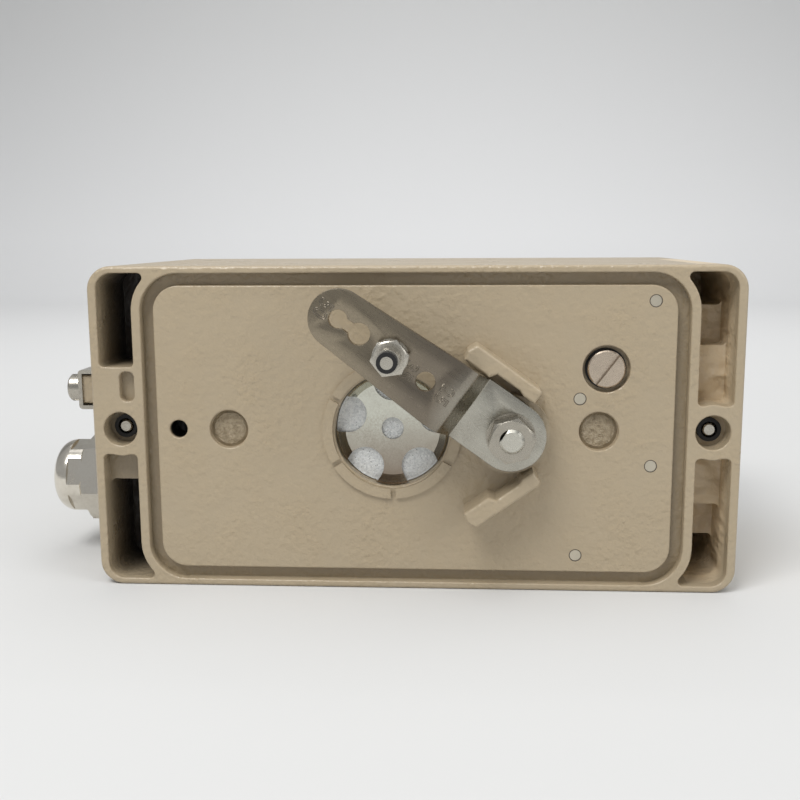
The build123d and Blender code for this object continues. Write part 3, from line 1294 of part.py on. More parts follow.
cover_head_near = front_y - COVER_HEAD_SINK
with BuildPart() as cover_screws:
    for screw_x in (-cover_screw_x, cover_screw_x):
        for screw_z in (-cover_screw_z, cover_screw_z):
            disc(screw_x, screw_z, COVER_SCREW_R, BODY_D - COVER_SCREW_DEPTH, cover_head_near)
            disc(
                screw_x,
                screw_z,
                COVER_SCREW_HEAD_R,
                cover_head_near,
                cover_head_near + COVER_SCREW_HEAD_H,
            )
            slot_near = cover_head_near + COVER_SCREW_HEAD_H - COVER_SLOT_DEPTH
            slot_far = cover_head_near + COVER_SCREW_HEAD_H
            for slot_w, slot_h in ((COVER_SLOT_L, COVER_SLOT_W), (COVER_SLOT_W, COVER_SLOT_L)):
                block(screw_x, screw_z, slot_w, slot_h, slot_near, slot_far, Mode.SUBTRACT)
save(cover_screws.part, "cover_screws")

# Main circuit board with its parts, screws and the chip that reads the magnet
board_w = board_right - board_left
board_far = BOARD_DEPTH + BOARD_T
with BuildPart() as main_board:
    block(board_mid, 0, board_w, 2 * board_half_h, BOARD_DEPTH, board_far)
    with BuildSketch(face_plane(BOARD_DEPTH)):
        with Locations((board_mid, 0)):
            with GridLocations(*board_posts, 2, 2):
                Circle(M3_R + FIT_GAP)
    extrude(amount=-BOARD_T, mode=Mode.SUBTRACT)
save(main_board.part, "main_board")

with BuildPart() as board_components:
    for part_x, part_z, part_w, part_h, part_t in BOARD_CHIPS:
        block(part_x, part_z, part_w, part_h, board_far, board_far + part_t)
    for can_x, can_z, can_r, can_h in BOARD_CANS:
        disc(can_x, can_z, can_r, board_far, board_far + can_h)
save(board_components.part, "board_components")

with BuildPart() as board_screws:
    for screw_x in (-1, 1):
        for screw_z in (-1, 1):
            place_x = board_mid + screw_x * board_posts[0] / 2
            place_z = screw_z * board_posts[1] / 2
            socket_screw(place_x, place_z, BOARD_DEPTH - M3_GRIP, board_far)
save(board_screws.part, "board_screws")

with BuildPart() as position_sensor:
    block(SHAFT_X, 0, SENSOR_SIZE, SENSOR_SIZE, BOARD_DEPTH - SENSOR_T, BOARD_DEPTH)
save(position_sensor.part, "position_sensor")

# Terminal block beside the cable entries
terminal_x = board_left + TERMINAL_INSET + TERMINAL_W / 2
terminal_far = board_far + TERMINAL_H
with BuildPart() as terminal_block:
    block(terminal_x, 0, TERMINAL_W, TERMINAL_POLES * TERMINAL_PITCH, board_far, terminal_far)
    with BuildSketch(face_plane(terminal_far)):
        with Locations((terminal_x, 0)):
            with GridLocations(0, TERMINAL_PITCH, 1, TERMINAL_POLES):
                Circle(TERMINAL_SCREW_R + FIT_GAP)
    extrude(amount=TERMINAL_SCREW_SINK + TERMINAL_SCREW_L, mode=Mode.SUBTRACT)
    with BuildSketch(Plane.YZ.offset(terminal_x - TERMINAL_W / 2)):
        with Locations((board_far + TERMINAL_WIRE_Y, 0)):
            with GridLocations(0, TERMINAL_PITCH, 1, TERMINAL_POLES):
                Rectangle(2 * TERMINAL_WIRE_R, 2 * TERMINAL_WIRE_R)
    extrude(amount=TERMINAL_WIRE_DEPTH, mode=Mode.SUBTRACT)
save(terminal_block.part, "terminal_block")

with BuildPart() as terminal_screws:
    for pole in range(TERMINAL_POLES):
        pole_z = (pole - (TERMINAL_POLES - 1) / 2) * TERMINAL_PITCH
        screw_near = terminal_far - TERMINAL_SCREW_SINK - TERMINAL_SCREW_L
        screw_far = terminal_far - TERMINAL_SCREW_SINK
        disc(terminal_x, pole_z, TERMINAL_SCREW_R, screw_near, screw_far)
        block(
            terminal_x,
            pole_z,
            3 * TERMINAL_SCREW_R,
            TERMINAL_SLOT_W,
            screw_far - TERMINAL_SLOT_DEPTH,
            screw_far,
            Mode.SUBTRACT,
        )
save(terminal_screws.part, "terminal_screws")

# Operator panel, screwed to the ribs, with the openings for what passes through it
panel_far = panel_depth + PANEL_T
panel_w = panel_right - panel_left
slider_rest_x = switch_x - SWITCH_TRAVEL / 2
with BuildPart() as operator_panel:
    with BuildSketch(face_plane(panel_depth)):
        with Locations((panel_mid, 0)):
            RectangleRounded(panel_w, 2 * panel_half_h, COMPARTMENT_R - PANEL_EDGE_GAP)
    extrude(amount=-PANEL_T)
    with BuildSketch(face_plane(panel_depth)):
        with Locations((panel_mid, 0)):
            with GridLocations(*panel_posts, 2, 2):
                Circle(M3_R + FIT_GAP)
        with Locations((knob_x, KNOB_Z)):
            Circle(ENCODER_SHAFT_R + MOVING_GAP)
        with Locations((knob_x, BUTTON_Z)):
            Circle(BUTTON_R + MOVING_GAP)
        with Locations((restrictor_x, RESTRICTOR_Z)):
            Circle(RESTRICTOR_STEM_R + RUNNING_GAP)
        with Locations((switch_x, SWITCH_Z)):
            Rectangle(SWITCH_SLIDER_W + SWITCH_TRAVEL + 2 * MOVING_GAP, SWITCH_SLIDER_H + 2 * MOVING_GAP)
    extrude(amount=-PANEL_T, mode=Mode.SUBTRACT)
save(operator_panel.part, "operator_panel")

with BuildPart() as panel_screws:
    for screw_x in (-1, 1):
        for screw_z in (-1, 1):
            place_x = panel_mid + screw_x * panel_posts[0] / 2
            place_z = screw_z * panel_posts[1] / 2
            socket_screw(place_x, place_z, panel_depth - M3_GRIP, panel_far)
save(panel_screws.part, "panel_screws")

# Display frame under the window, with its glass
frame_far = panel_far + DISPLAY_FRAME_L
glass_w = display_frame_w - 2 * DISPLAY_FRAME_WALL
glass_h = DISPLAY_FRAME_H - 2 * DISPLAY_FRAME_WALL
glass_far = frame_far - DISPLAY_GLASS_SINK
with BuildPart() as display_frame:
    with BuildSketch(face_plane(panel_far)):
        with Locations((display_x, DISPLAY_Z)):
            RectangleRounded(display_frame_w, DISPLAY_FRAME_H, DISPLAY_FRAME_WALL)
    extrude(amount=-DISPLAY_FRAME_L)
    block(
        display_x,
        DISPLAY_Z,
        glass_w - 2 * DISPLAY_LEDGE,
        glass_h - 2 * DISPLAY_LEDGE,
        panel_far + DISPLAY_FRAME_WALL,
        frame_far,
        Mode.SUBTRACT,
    )
    block(
        display_x,
        DISPLAY_Z,
        glass_w + 2 * FIT_GAP,
        glass_h + 2 * FIT_GAP,
        glass_far - DISPLAY_GLASS_T,
        frame_far,
        Mode.SUBTRACT,
    )
save(display_frame.part, "display_frame")

with BuildPart() as display_glass:
    block(display_x, DISPLAY_Z, glass_w, glass_h, glass_far - DISPLAY_GLASS_T, glass_far)
save(display_glass.part, "display_glass")

# Rotary push knob on its encoder
encoder_near = panel_depth - ENCODER_H
encoder_shaft_near = encoder_near + ENCODER_FLOOR + PRESS_TRAVEL + MOVING_GAP
knob_near = panel_far + PRESS_TRAVEL + MOVING_GAP
with BuildPart() as encoder_body:
    block(knob_x, KNOB_Z, ENCODER_SIZE, ENCODER_SIZE, encoder_near, panel_depth)
    encoder_floor = encoder_near + ENCODER_FLOOR
    disc(knob_x, KNOB_Z, ENCODER_SHAFT_R + RUNNING_GAP, encoder_floor, panel_depth, Mode.SUBTRACT)
save(encoder_body.part, "encoder_body")

with BuildPart() as encoder_shaft:
    disc(knob_x, KNOB_Z, ENCODER_SHAFT_R, encoder_shaft_near, encoder_shaft_near + ENCODER_SHAFT_L)
save(encoder_shaft.part, "encoder_shaft")

with BuildPart() as rotary_knob:
    disc(knob_x, KNOB_Z, KNOB_R, knob_near, knob_near + KNOB_H)
    fillet(rotary_knob.faces().sort_by(Axis.Y)[-1].edges(), KNOB_EDGE_R)
    with BuildSketch(face_plane(knob_near)):
        with Locations((knob_x, KNOB_Z)):
            with PolarLocations(KNOB_R + KNOB_GRIP_R / 2, KNOB_GRIPS):
                Circle(KNOB_GRIP_R)
    extrude(amount=-KNOB_H, mode=Mode.SUBTRACT)
    disc(
        knob_x,
        KNOB_Z,
        ENCODER_SHAFT_R + RUNNING_GAP,
        knob_near,
        encoder_shaft_near + ENCODER_SHAFT_L + MOVING_GAP,
        Mode.SUBTRACT,
    )
save(rotary_knob.part, "rotary_knob")

# Initialise button over its switch
with BuildPart() as button_switch:
    switch_near = panel_depth - BUTTON_BODY_L
    cup_near = panel_depth - MOVING_GAP - BUTTON_FLANGE_T - PRESS_TRAVEL - MOVING_GAP
    block(knob_x, BUTTON_Z, BUTTON_BODY_W, BUTTON_BODY_W, switch_near, panel_depth)
    disc(knob_x, BUTTON_Z, BUTTON_FLANGE_R + MOVING_GAP, cup_near, panel_depth, Mode.SUBTRACT)
save(button_switch.part, "button_switch")

with BuildPart() as init_button:
    flange_far = panel_depth - MOVING_GAP
    disc(knob_x, BUTTON_Z, BUTTON_FLANGE_R, flange_far - BUTTON_FLANGE_T, flange_far)
    disc(knob_x, BUTTON_Z, BUTTON_R, flange_far, panel_far + BUTTON_STAND)
save(init_button.part, "init_button")

# Change-over switch for the action of the positioner
with BuildPart() as changeover_body:
    slot_far = panel_depth
    slot_near = panel_depth - SWITCH_BASE_T - 2 * MOVING_GAP
    block(switch_x, SWITCH_Z, SWITCH_BODY_W, SWITCH_BODY_H, panel_depth - SWITCH_BODY_L, panel_depth)
    block(
        switch_x,
        SWITCH_Z,
        SWITCH_BASE_W + SWITCH_TRAVEL + 2 * MOVING_GAP,
        SWITCH_BASE_H + 2 * MOVING_GAP,
        slot_near,
        slot_far,
        Mode.SUBTRACT,
    )
save(changeover_body.part, "changeover_body")

with BuildPart() as changeover_slider:
    base_far = panel_depth - MOVING_GAP
    block(slider_rest_x, SWITCH_Z, SWITCH_BASE_W, SWITCH_BASE_H, base_far - SWITCH_BASE_T, base_far)
    block(slider_rest_x, SWITCH_Z, SWITCH_SLIDER_W, SWITCH_SLIDER_H, base_far, panel_far + SWITCH_STAND)
save(changeover_slider.part, "changeover_slider")

# Air blocks on the compartment floor, beside the ports
booster_far = BACK_WALL + booster_h
with BuildPart() as pressure_converter:
    block(block_x, block_z, block_w, block_h, BACK_WALL, BACK_WALL + converter_h)
    fillet(pressure_converter.faces().sort_by(Axis.Y)[-1].edges(), BLOCK_EDGE_R)
    for screw_x, screw_z in converter_screws:
        disc(screw_x, screw_z, M3_R + FIT_GAP, BACK_WALL, BACK_WALL + converter_h, Mode.SUBTRACT)
save(pressure_converter.part, "pressure_converter")

with BuildPart() as air_booster:
    block(block_x, -block_z, block_w, block_h, BACK_WALL, booster_far)
    fillet(air_booster.faces().sort_by(Axis.Y)[-1].edges(), BLOCK_EDGE_R)
    for screw_x, screw_z in booster_screws:
        disc(screw_x, screw_z, M3_R + FIT_GAP, BACK_WALL, booster_far, Mode.SUBTRACT)
    disc(
        restrictor_x,
        RESTRICTOR_Z,
        RESTRICTOR_STEM_R + RUNNING_GAP,
        booster_far - RESTRICTOR_GRIP - MOVING_GAP,
        booster_far,
        Mode.SUBTRACT,
    )
save(air_booster.part, "air_booster")

with BuildPart() as booster_cap:
    disc(block_x + BOOSTER_CAP_OFF_X, -block_z, booster_cap_r, booster_far, booster_far + BOOSTER_CAP_H)
    chamfer(booster_cap.faces().sort_by(Axis.Y)[-1].edges(), BOOSTER_CAP_CHAMFER)
save(booster_cap.part, "booster_cap")

with BuildPart() as block_screws:
    for screw_places, head_near in (
        (converter_screws, BACK_WALL + converter_h),
        (booster_screws, booster_far),
    ):
        for screw_x, screw_z in screw_places:
            socket_screw(screw_x, screw_z, BACK_WALL - BLOCK_SCREW_GRIP, head_near)
save(block_screws.part, "block_screws")

with BuildPart() as supply_regulator:
    regulator_far = BACK_WALL + regulator_h
    disc(block_x - REGULATOR_OFF_X, 0, REGULATOR_R, BACK_WALL, regulator_far - REGULATOR_NECK_H)
    disc(block_x - REGULATOR_OFF_X, 0, REGULATOR_NECK_R, regulator_far - REGULATOR_NECK_H, regulator_far)
save(supply_regulator.part, "supply_regulator")

# Volume restrictor: its stem runs from the panel down into the booster
with BuildPart() as restrictor_screw:
    restrictor_near = panel_far + MOVING_GAP
    restrictor_far = restrictor_near + RESTRICTOR_HEAD_H
    disc(restrictor_x, RESTRICTOR_Z, RESTRICTOR_STEM_R, booster_far - RESTRICTOR_GRIP, restrictor_near)
    disc(restrictor_x, RESTRICTOR_Z, RESTRICTOR_HEAD_R, restrictor_near, restrictor_far)
    block(
        restrictor_x,
        RESTRICTOR_Z,
        3 * RESTRICTOR_HEAD_R,
        RESTRICTOR_SLOT_W,
        restrictor_far - RESTRICTOR_SLOT_DEPTH,
        restrictor_far,
        Mode.SUBTRACT,
    )
save(restrictor_screw.part, "restrictor_screw")
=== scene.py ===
"""Looks of the valve positioner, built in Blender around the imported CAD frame.

The camera sees the back of the case, the side that bolts to the valve. Every length is in metres.
"""

import logging
import math
from collections.abc import Callable, Iterable
from dataclasses import dataclass, field
from enum import Enum
from typing import Any

import bmesh
import bpy
from mathutils import Matrix, Vector, noise

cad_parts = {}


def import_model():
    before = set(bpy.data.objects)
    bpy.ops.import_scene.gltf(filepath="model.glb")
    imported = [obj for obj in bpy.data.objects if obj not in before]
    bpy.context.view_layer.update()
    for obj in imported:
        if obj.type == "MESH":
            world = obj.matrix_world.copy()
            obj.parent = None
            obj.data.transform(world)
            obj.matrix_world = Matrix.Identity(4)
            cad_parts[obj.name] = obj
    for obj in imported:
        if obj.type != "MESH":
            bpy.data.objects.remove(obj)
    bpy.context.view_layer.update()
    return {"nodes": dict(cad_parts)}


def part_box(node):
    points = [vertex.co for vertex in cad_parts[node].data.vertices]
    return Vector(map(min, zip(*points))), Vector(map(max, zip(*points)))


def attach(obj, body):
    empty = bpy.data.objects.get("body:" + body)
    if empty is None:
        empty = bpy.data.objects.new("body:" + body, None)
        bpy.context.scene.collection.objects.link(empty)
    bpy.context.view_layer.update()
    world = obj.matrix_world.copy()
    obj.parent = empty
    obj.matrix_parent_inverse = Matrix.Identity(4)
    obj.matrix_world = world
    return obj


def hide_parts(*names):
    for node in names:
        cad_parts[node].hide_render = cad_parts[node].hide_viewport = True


LOG = logging.getLogger("positioner")
MM = 0.001
PLATE_X = 64.65 * MM
PLATE_Z = 36.15 * MM
PLATE_R = 6.45 * MM
GROOVE_W = 3.05 * MM
DIMPLE_X = 46.3 * MM
HOLE_X = -59.2 * MM
SHAFT_X = 24.3 * MM
LEVER_ANGLE = math.radians(35.5)
Colour = tuple[float, float, float, float]


def srgb(red: float, green: float, blue: float) -> Colour:
    """Turns a screen colour into the linear one that shaders use.

    Args:
        red: red from 0 to 255.
        green: green from 0 to 255.
        blue: blue from 0 to 255.

    Returns:
        The linear colour with full alpha.
    """
    parts = []
    for part in (red, green, blue):
        share = part / 255.0
        parts.append(share / 12.92 if share <= 0.04045 else ((share + 0.055) / 1.055) ** 2.4)
    return (parts[0], parts[1], parts[2], 1.0)


# ---- shader graphs


class Graph:
    """Adds and joins the nodes of one material or shader group."""

    def __init__(self, tree: bpy.types.NodeTree) -> None:
        """Starts on a node tree."""
        self.tree = tree

    def node(self, kind: str, inputs: dict[Any, Any] | None = None, **settings: Any) -> bpy.types.Node:
        """Adds one node.

        Args:
            kind: the node's type name.
            inputs: values or sockets by input name or number.
            settings: properties of the node itself.

        Returns:
            The new node.
        """
        made = self.tree.nodes.new(kind)
        for key, value in settings.items():
            setattr(made, key, value)
        for key, value in (inputs or {}).items():
            if isinstance(value, bpy.types.NodeSocket):
                self.tree.links.new(value, made.inputs[key])
            else:
                made.inputs[key].default_value = value
        return made

    def math(self, operation: str, first: Any, second: Any = 0.0) -> bpy.types.NodeSocket:
        """Adds a math node and gives its value."""
        return self.node("ShaderNodeMath", {0: first, 1: second}, operation=operation).outputs[0]

    def remap(self, value: Any, low: float, high: float, to_low: float, to_high: float) -> bpy.types.NodeSocket:
        """Maps a value from one range to another, held at the ends."""
        inputs = {"Value": value, "From Min": low, "From Max": high, "To Min": to_low, "To Max": to_high}
        return self.node("ShaderNodeMapRange", inputs).outputs[0]

    def mix(self, share: Any, first: Any, second: Any, blend: str = "MIX") -> bpy.types.NodeSocket:
        """Mixes two colours by a share."""
        made = self.node("ShaderNodeMix", {0: share, 6: first, 7: second}, data_type="RGBA", blend_type=blend)
        return made.outputs[2]

    def distance(self, first: Any, second: Any) -> bpy.types.NodeSocket:
        """Gives the length of a flat step."""
        step = self.node("ShaderNodeCombineXYZ", {0: first, 1: second}).outputs[0]
        return self.node("ShaderNodeVectorMath", {0: step}, operation="LENGTH").outputs["Value"]

    def noise(self, vector: Any, scale: Any, detail: float = 2.0, rough: float = 0.5) -> bpy.types.NodeSocket:
        """Adds a noise texture and gives its value."""
        inputs = {"Vector": vector, "Scale": scale, "Detail": detail, "Roughness": rough}
        return self.node("ShaderNodeTexNoise", inputs).outputs[0]

    def cells(self, vector: Any, scale: Any, feature: str = "F1") -> bpy.types.Node:
        """Adds a cell texture."""
        return self.node("ShaderNodeTexVoronoi", {"Vector": vector, "Scale": scale}, feature=feature)

    def stretch(self, vector: Any, factors: tuple[float, float, float]) -> bpy.types.NodeSocket:
        """Scales a vector along each axis."""
        return self.node("ShaderNodeMapping", {"Vector": vector, "Scale": factors}).outputs[0]

    def place(self, vector: Any, spot: tuple[float, float, float]) -> bpy.types.NodeSocket:
        """Moves a vector's zero to a spot."""
        return self.node("ShaderNodeVectorMath", {0: vector, 1: spot}, operation="SUBTRACT").outputs[0]

    def group(self, shared: bpy.types.NodeTree, inputs: dict[str, Any]) -> bpy.types.Node:
        """Adds a shared group with its inputs."""
        made = self.tree.nodes.new("ShaderNodeGroup")
        made.node_tree = shared
        for key, value in inputs.items():
            if isinstance(value, bpy.types.NodeSocket):
                self.tree.links.new(value, made.inputs[key])
            else:
                made.inputs[key].default_value = value
        return made

    def finish(self, output: bpy.types.Node, values: dict[str, Any]) -> None:
        """Feeds the outputs of a group."""
        for key, value in values.items():
            self.tree.links.new(value, output.inputs[key])


SOCKETS = {"vector": "NodeSocketVector", "value": "NodeSocketFloat", "colour": "NodeSocketColor"}


def shared_group(
    name: str,
    inputs: dict[str, str],
    outputs: dict[str, str],
    fill: Callable[[Graph, Any], dict[str, Any]],
) -> bpy.types.NodeTree:
    """Makes a shader group with named sockets.

    Args:
        name: the group's name.
        inputs: kind of each input by name.
        outputs: kind of each output by name.
        fill: adds the nodes and gives the sockets of the outputs.

    Returns:
        The group's node tree.
    """
    found = bpy.data.node_groups.get(name)
    if found is not None:
        return found
    tree = bpy.data.node_groups.new(name, "ShaderNodeTree")
    for key, kind in inputs.items():
        tree.interface.new_socket(key, in_out="INPUT", socket_type=SOCKETS[kind])
    for key, kind in outputs.items():
        tree.interface.new_socket(key, in_out="OUTPUT", socket_type=SOCKETS[kind])
    start, end = tree.nodes.new("NodeGroupInput"), tree.nodes.new("NodeGroupOutput")
    graph = Graph(tree)
    graph.finish(end, fill(graph, start.outputs))
    return tree


def powder_group() -> bpy.types.NodeTree:
    """Orange peel and slow blotches of a powder coat."""

    def fill(graph: Graph, given: Any) -> dict[str, Any]:
        peel = graph.noise(given["Vector"], given["Scale"], 1.5, 0.4)
        fine = graph.noise(given["Vector"], graph.math("MULTIPLY", given["Scale"], 3.6), 2.0, 0.5)
        slow = graph.noise(given["Vector"], graph.math("MULTIPLY", given["Scale"], 0.09), 4.0, 0.6)
        height = graph.math("ADD", graph.math("MULTIPLY", peel, 0.82), graph.math("MULTIPLY", fine, 0.18))
        return {"Height": height, "Shade": graph.remap(slow, 0.3, 0.7, 0.0, 1.0)}

    return shared_group(
        "Powder coat", {"Vector": "vector", "Scale": "value"}, {"Height": "value", "Shade": "value"}, fill
    )


def pocket_group() -> bpy.types.NodeTree:
    """Share from 0 to 1 of how deep a point lies in the left end pockets of the case."""

    def fill(graph: Graph, given: Any) -> dict[str, Any]:
        parts = graph.node("ShaderNodeSeparateXYZ", {0: given["Vector"]}).outputs
        across = graph.math("MULTIPLY", parts[0], -1.0)
        tall = graph.math("ABSOLUTE", parts[2])
        inner = graph.math("GREATER_THAN", across, given["Inner"])
        outer = graph.math("LESS_THAN", across, given["Outer"])
        level = graph.math("LESS_THAN", tall, given["Top"])
        within = graph.math("MULTIPLY", graph.math("MULTIPLY", inner, outer), level)
        deep = graph.node(
            "ShaderNodeMapRange",
            {"Value": parts[1], "From Min": given["Start"], "From Max": given["End"], "To Min": 0.0, "To Max": 1.0},
        ).outputs[0]
        return {"Mask": graph.math("MULTIPLY", within, deep)}

    names = {"Vector": "vector", "Inner": "value", "Outer": "value", "Top": "value", "Start": "value", "End": "value"}
    return shared_group("Pocket depth", names, {"Mask": "value"}, fill)


def places_group() -> bpy.types.NodeTree:
    """Marks the seal groove, the floors of the dimples, the blind hole and the right end pockets."""

    def fill(graph: Graph, given: Any) -> dict[str, Any]:
        parts = graph.node("ShaderNodeSeparateXYZ", {0: given["Vector"]}).outputs
        across, tall = graph.math("ABSOLUTE", parts[0]), graph.math("ABSOLUTE", parts[2])
        over = graph.math("MAXIMUM", graph.math("SUBTRACT", across, PLATE_X - PLATE_R), 0.0)
        above = graph.math("MAXIMUM", graph.math("SUBTRACT", tall, PLATE_Z - PLATE_R), 0.0)
        edge = graph.math("SUBTRACT", graph.distance(over, above), PLATE_R)
        beyond = graph.math("GREATER_THAN", edge, 0.0)
        inside = graph.math("LESS_THAN", edge, GROOVE_W)
        deep = graph.remap(parts[1], 0.8 * MM, 2.6 * MM, 0.0, 1.0)
        groove = graph.math("MULTIPLY", graph.math("MULTIPLY", beyond, inside), deep)
        dimple = graph.distance(graph.math("SUBTRACT", across, DIMPLE_X), tall)
        floor = graph.math("GREATER_THAN", parts[1], 2.2 * MM)
        hole = graph.distance(graph.math("SUBTRACT", parts[0], HOLE_X), tall)
        below = graph.remap(parts[1], 0.9 * MM, 2.4 * MM, 0.0, 1.0)
        right = graph.math("GREATER_THAN", parts[0], PLATE_X + GROOVE_W + 2.2 * MM)
        return {
            "Groove": groove,
            "Dimple": graph.math("MULTIPLY", graph.remap(dimple, 4.0 * MM, 4.7 * MM, 1.0, 0.0), floor),
            "Hole": graph.math("MULTIPLY", graph.math("LESS_THAN", hole, 2.4 * MM), below),
            "Pocket": graph.math("MULTIPLY", right, graph.remap(parts[1], 3.0 * MM, 9.0 * MM, 0.0, 1.0)),
        }

    outputs = {"Groove": "value", "Dimple": "value", "Hole": "value", "Pocket": "value"}
    return shared_group("Places on the case", {"Vector": "vector"}, outputs, fill)


def brushed_group() -> bpy.types.NodeTree:
    """Fine lines of a rolled or ground metal face, with cloudy patches."""

    def fill(graph: Graph, given: Any) -> dict[str, Any]:
        lines = graph.noise(given["Lines"], given["Scale"], 3.0, 0.7)
        cloud = graph.noise(given["Vector"], graph.math("MULTIPLY", given["Scale"], 0.12), 5.0, 0.62)
        grit = graph.noise(given["Vector"], graph.math("MULTIPLY", given["Scale"], 2.5), 2.0, 0.6)
        height = graph.math("ADD", graph.math("MULTIPLY", lines, 0.6), graph.math("MULTIPLY", grit, 0.4))
        return {"Height": height, "Cloud": graph.remap(cloud, 0.32, 0.68, 0.0, 1.0), "Grit": grit}

    return shared_group(
        "Brushed metal",
        {"Vector": "vector", "Lines": "vector", "Scale": "value"},
        {"Height": "value", "Cloud": "value", "Grit": "value"},
        fill,
    )


def grime_group() -> bpy.types.NodeTree:
    """Tints a colour with patches of handling marks."""

    def fill(graph: Graph, given: Any) -> dict[str, Any]:
        patch = graph.noise(given["Vector"], given["Scale"], 5.0, 0.65)
        fine = graph.noise(given["Vector"], graph.math("MULTIPLY", given["Scale"], 9.0), 3.0, 0.6)
        mask = graph.math("MULTIPLY", graph.remap(patch, 0.45, 0.7, 0.0, 1.0), graph.remap(fine, 0.3, 0.7, 0.4, 1.0))
        share = graph.math("MULTIPLY", mask, given["Amount"])
        return {"Color": graph.mix(share, given["Color"], given["Tint"]), "Mask": mask}

    return shared_group(
        "Handling marks",
        {"Color": "colour", "Tint": "colour", "Vector": "vector", "Scale": "value", "Amount": "value"},
        {"Color": "colour", "Mask": "value"},
        fill,
    )


def rings_group() -> bpy.types.NodeTree:
    """Turning marks round an axis along the depth of the case."""

    def fill(graph: Graph, given: Any) -> dict[str, Any]:
        flat = graph.stretch(given["Vector"], (1.0, 0.0, 1.0))
        reach = graph.node("ShaderNodeVectorMath", {0: flat}, operation="LENGTH").outputs["Value"]
        turns = graph.math("MULTIPLY", reach, graph.math("DIVIDE", math.tau, given["Pitch"]))
        wave = graph.math("SINE", turns)
        uneven = graph.noise(given["Vector"], 1400.0, 2.0)
        return {
            "Height": graph.math("MULTIPLY", wave, graph.remap(uneven, 0.3, 0.7, 0.3, 1.0)),
            "Shade": graph.remap(wave, -1.0, 1.0, 0.0, 1.0),
        }

    return shared_group(
        "Turning rings", {"Vector": "vector", "Pitch": "value"}, {"Height": "value", "Shade": "value"}, fill
    )


def granule_group() -> bpy.types.NodeTree:
    """Packed granules of a filter pad, with dark pores between them."""

    def fill(graph: Graph, given: Any) -> dict[str, Any]:
        cell = graph.cells(given["Vector"], given["Scale"])
        round_top = graph.remap(cell.outputs[0], 0.0, 0.7, 1.0, 0.0)
        pores = graph.cells(given["Vector"], graph.math("MULTIPLY", given["Scale"], 0.62)).outputs[0]
        spread = graph.noise(given["Vector"], graph.math("MULTIPLY", given["Scale"], 0.5), 2.0)
        speck = graph.math(
            "MULTIPLY", graph.remap(pores, 0.1, 0.24, 1.0, 0.0), graph.remap(spread, 0.44, 0.6, 0.0, 1.0)
        )
        return {"Height": round_top, "Shade": cell.outputs[1], "Speck": speck}

    return shared_group(
        "Granules",
        {"Vector": "vector", "Scale": "value"},
        {"Height": "value", "Shade": "colour", "Speck": "value"},
        fill,
    )


def tracks_group() -> bpy.types.NodeTree:
    """Copper tracks and pads under the varnish of a circuit board."""

    def fill(graph: Graph, given: Any) -> dict[str, Any]:
        flat = graph.stretch(given["Vector"], (1.0, 0.0, 1.0))
        turned = graph.node("ShaderNodeVectorRotate", {"Vector": flat, "Axis": (1.0, 0.0, 0.0), "Angle": math.pi / 2})
        bricks = graph.node(
            "ShaderNodeTexBrick",
            {
                "Vector": turned.outputs[0],
                "Scale": given["Scale"],
                "Mortar Size": 0.045,
                "Brick Width": 0.9,
                "Row Height": 0.16,
            },
        )
        pads = graph.cells(flat, graph.math("MULTIPLY", given["Scale"], 1.6)).outputs[0]
        return {"Track": bricks.outputs["Fac"], "Pad": graph.remap(pads, 0.1, 0.13, 1.0, 0.0)}

    return shared_group(
        "Board tracks", {"Vector": "vector", "Scale": "value"}, {"Track": "value", "Pad": "value"}, fill
    )


# ---- finishes


@dataclass(frozen=True)
class Finish:
    """What every finish of the part has."""

    name: str
    colour: Colour

    def start(self) -> tuple[bpy.types.Material, Graph, bpy.types.Node, Any]:
        """Makes the empty material.

        Returns:
            The material, its graph, its shader and the object coordinates.
        """
        material = bpy.data.materials.new(self.name)
        material.use_nodes = True
        graph = Graph(material.node_tree)
        shader = material.node_tree.nodes["Principled BSDF"]
        where = graph.node("ShaderNodeTexCoord").outputs["Object"]
        material.diffuse_color = self.colour
        return material, graph, shader, where

    def bump(self, graph: Graph, shader: bpy.types.Node, height: Any, depth: float, strength: float = 1.0) -> Any:
        """Adds relief to the shader's normal."""
        made = graph.node("ShaderNodeBump", {"Height": height, "Distance": depth, "Strength": strength})
        graph.tree.links.new(made.outputs[0], shader.inputs["Normal"])
        return made

    def build(self) -> bpy.types.Material:
        """Makes the material."""
        raise NotImplementedError


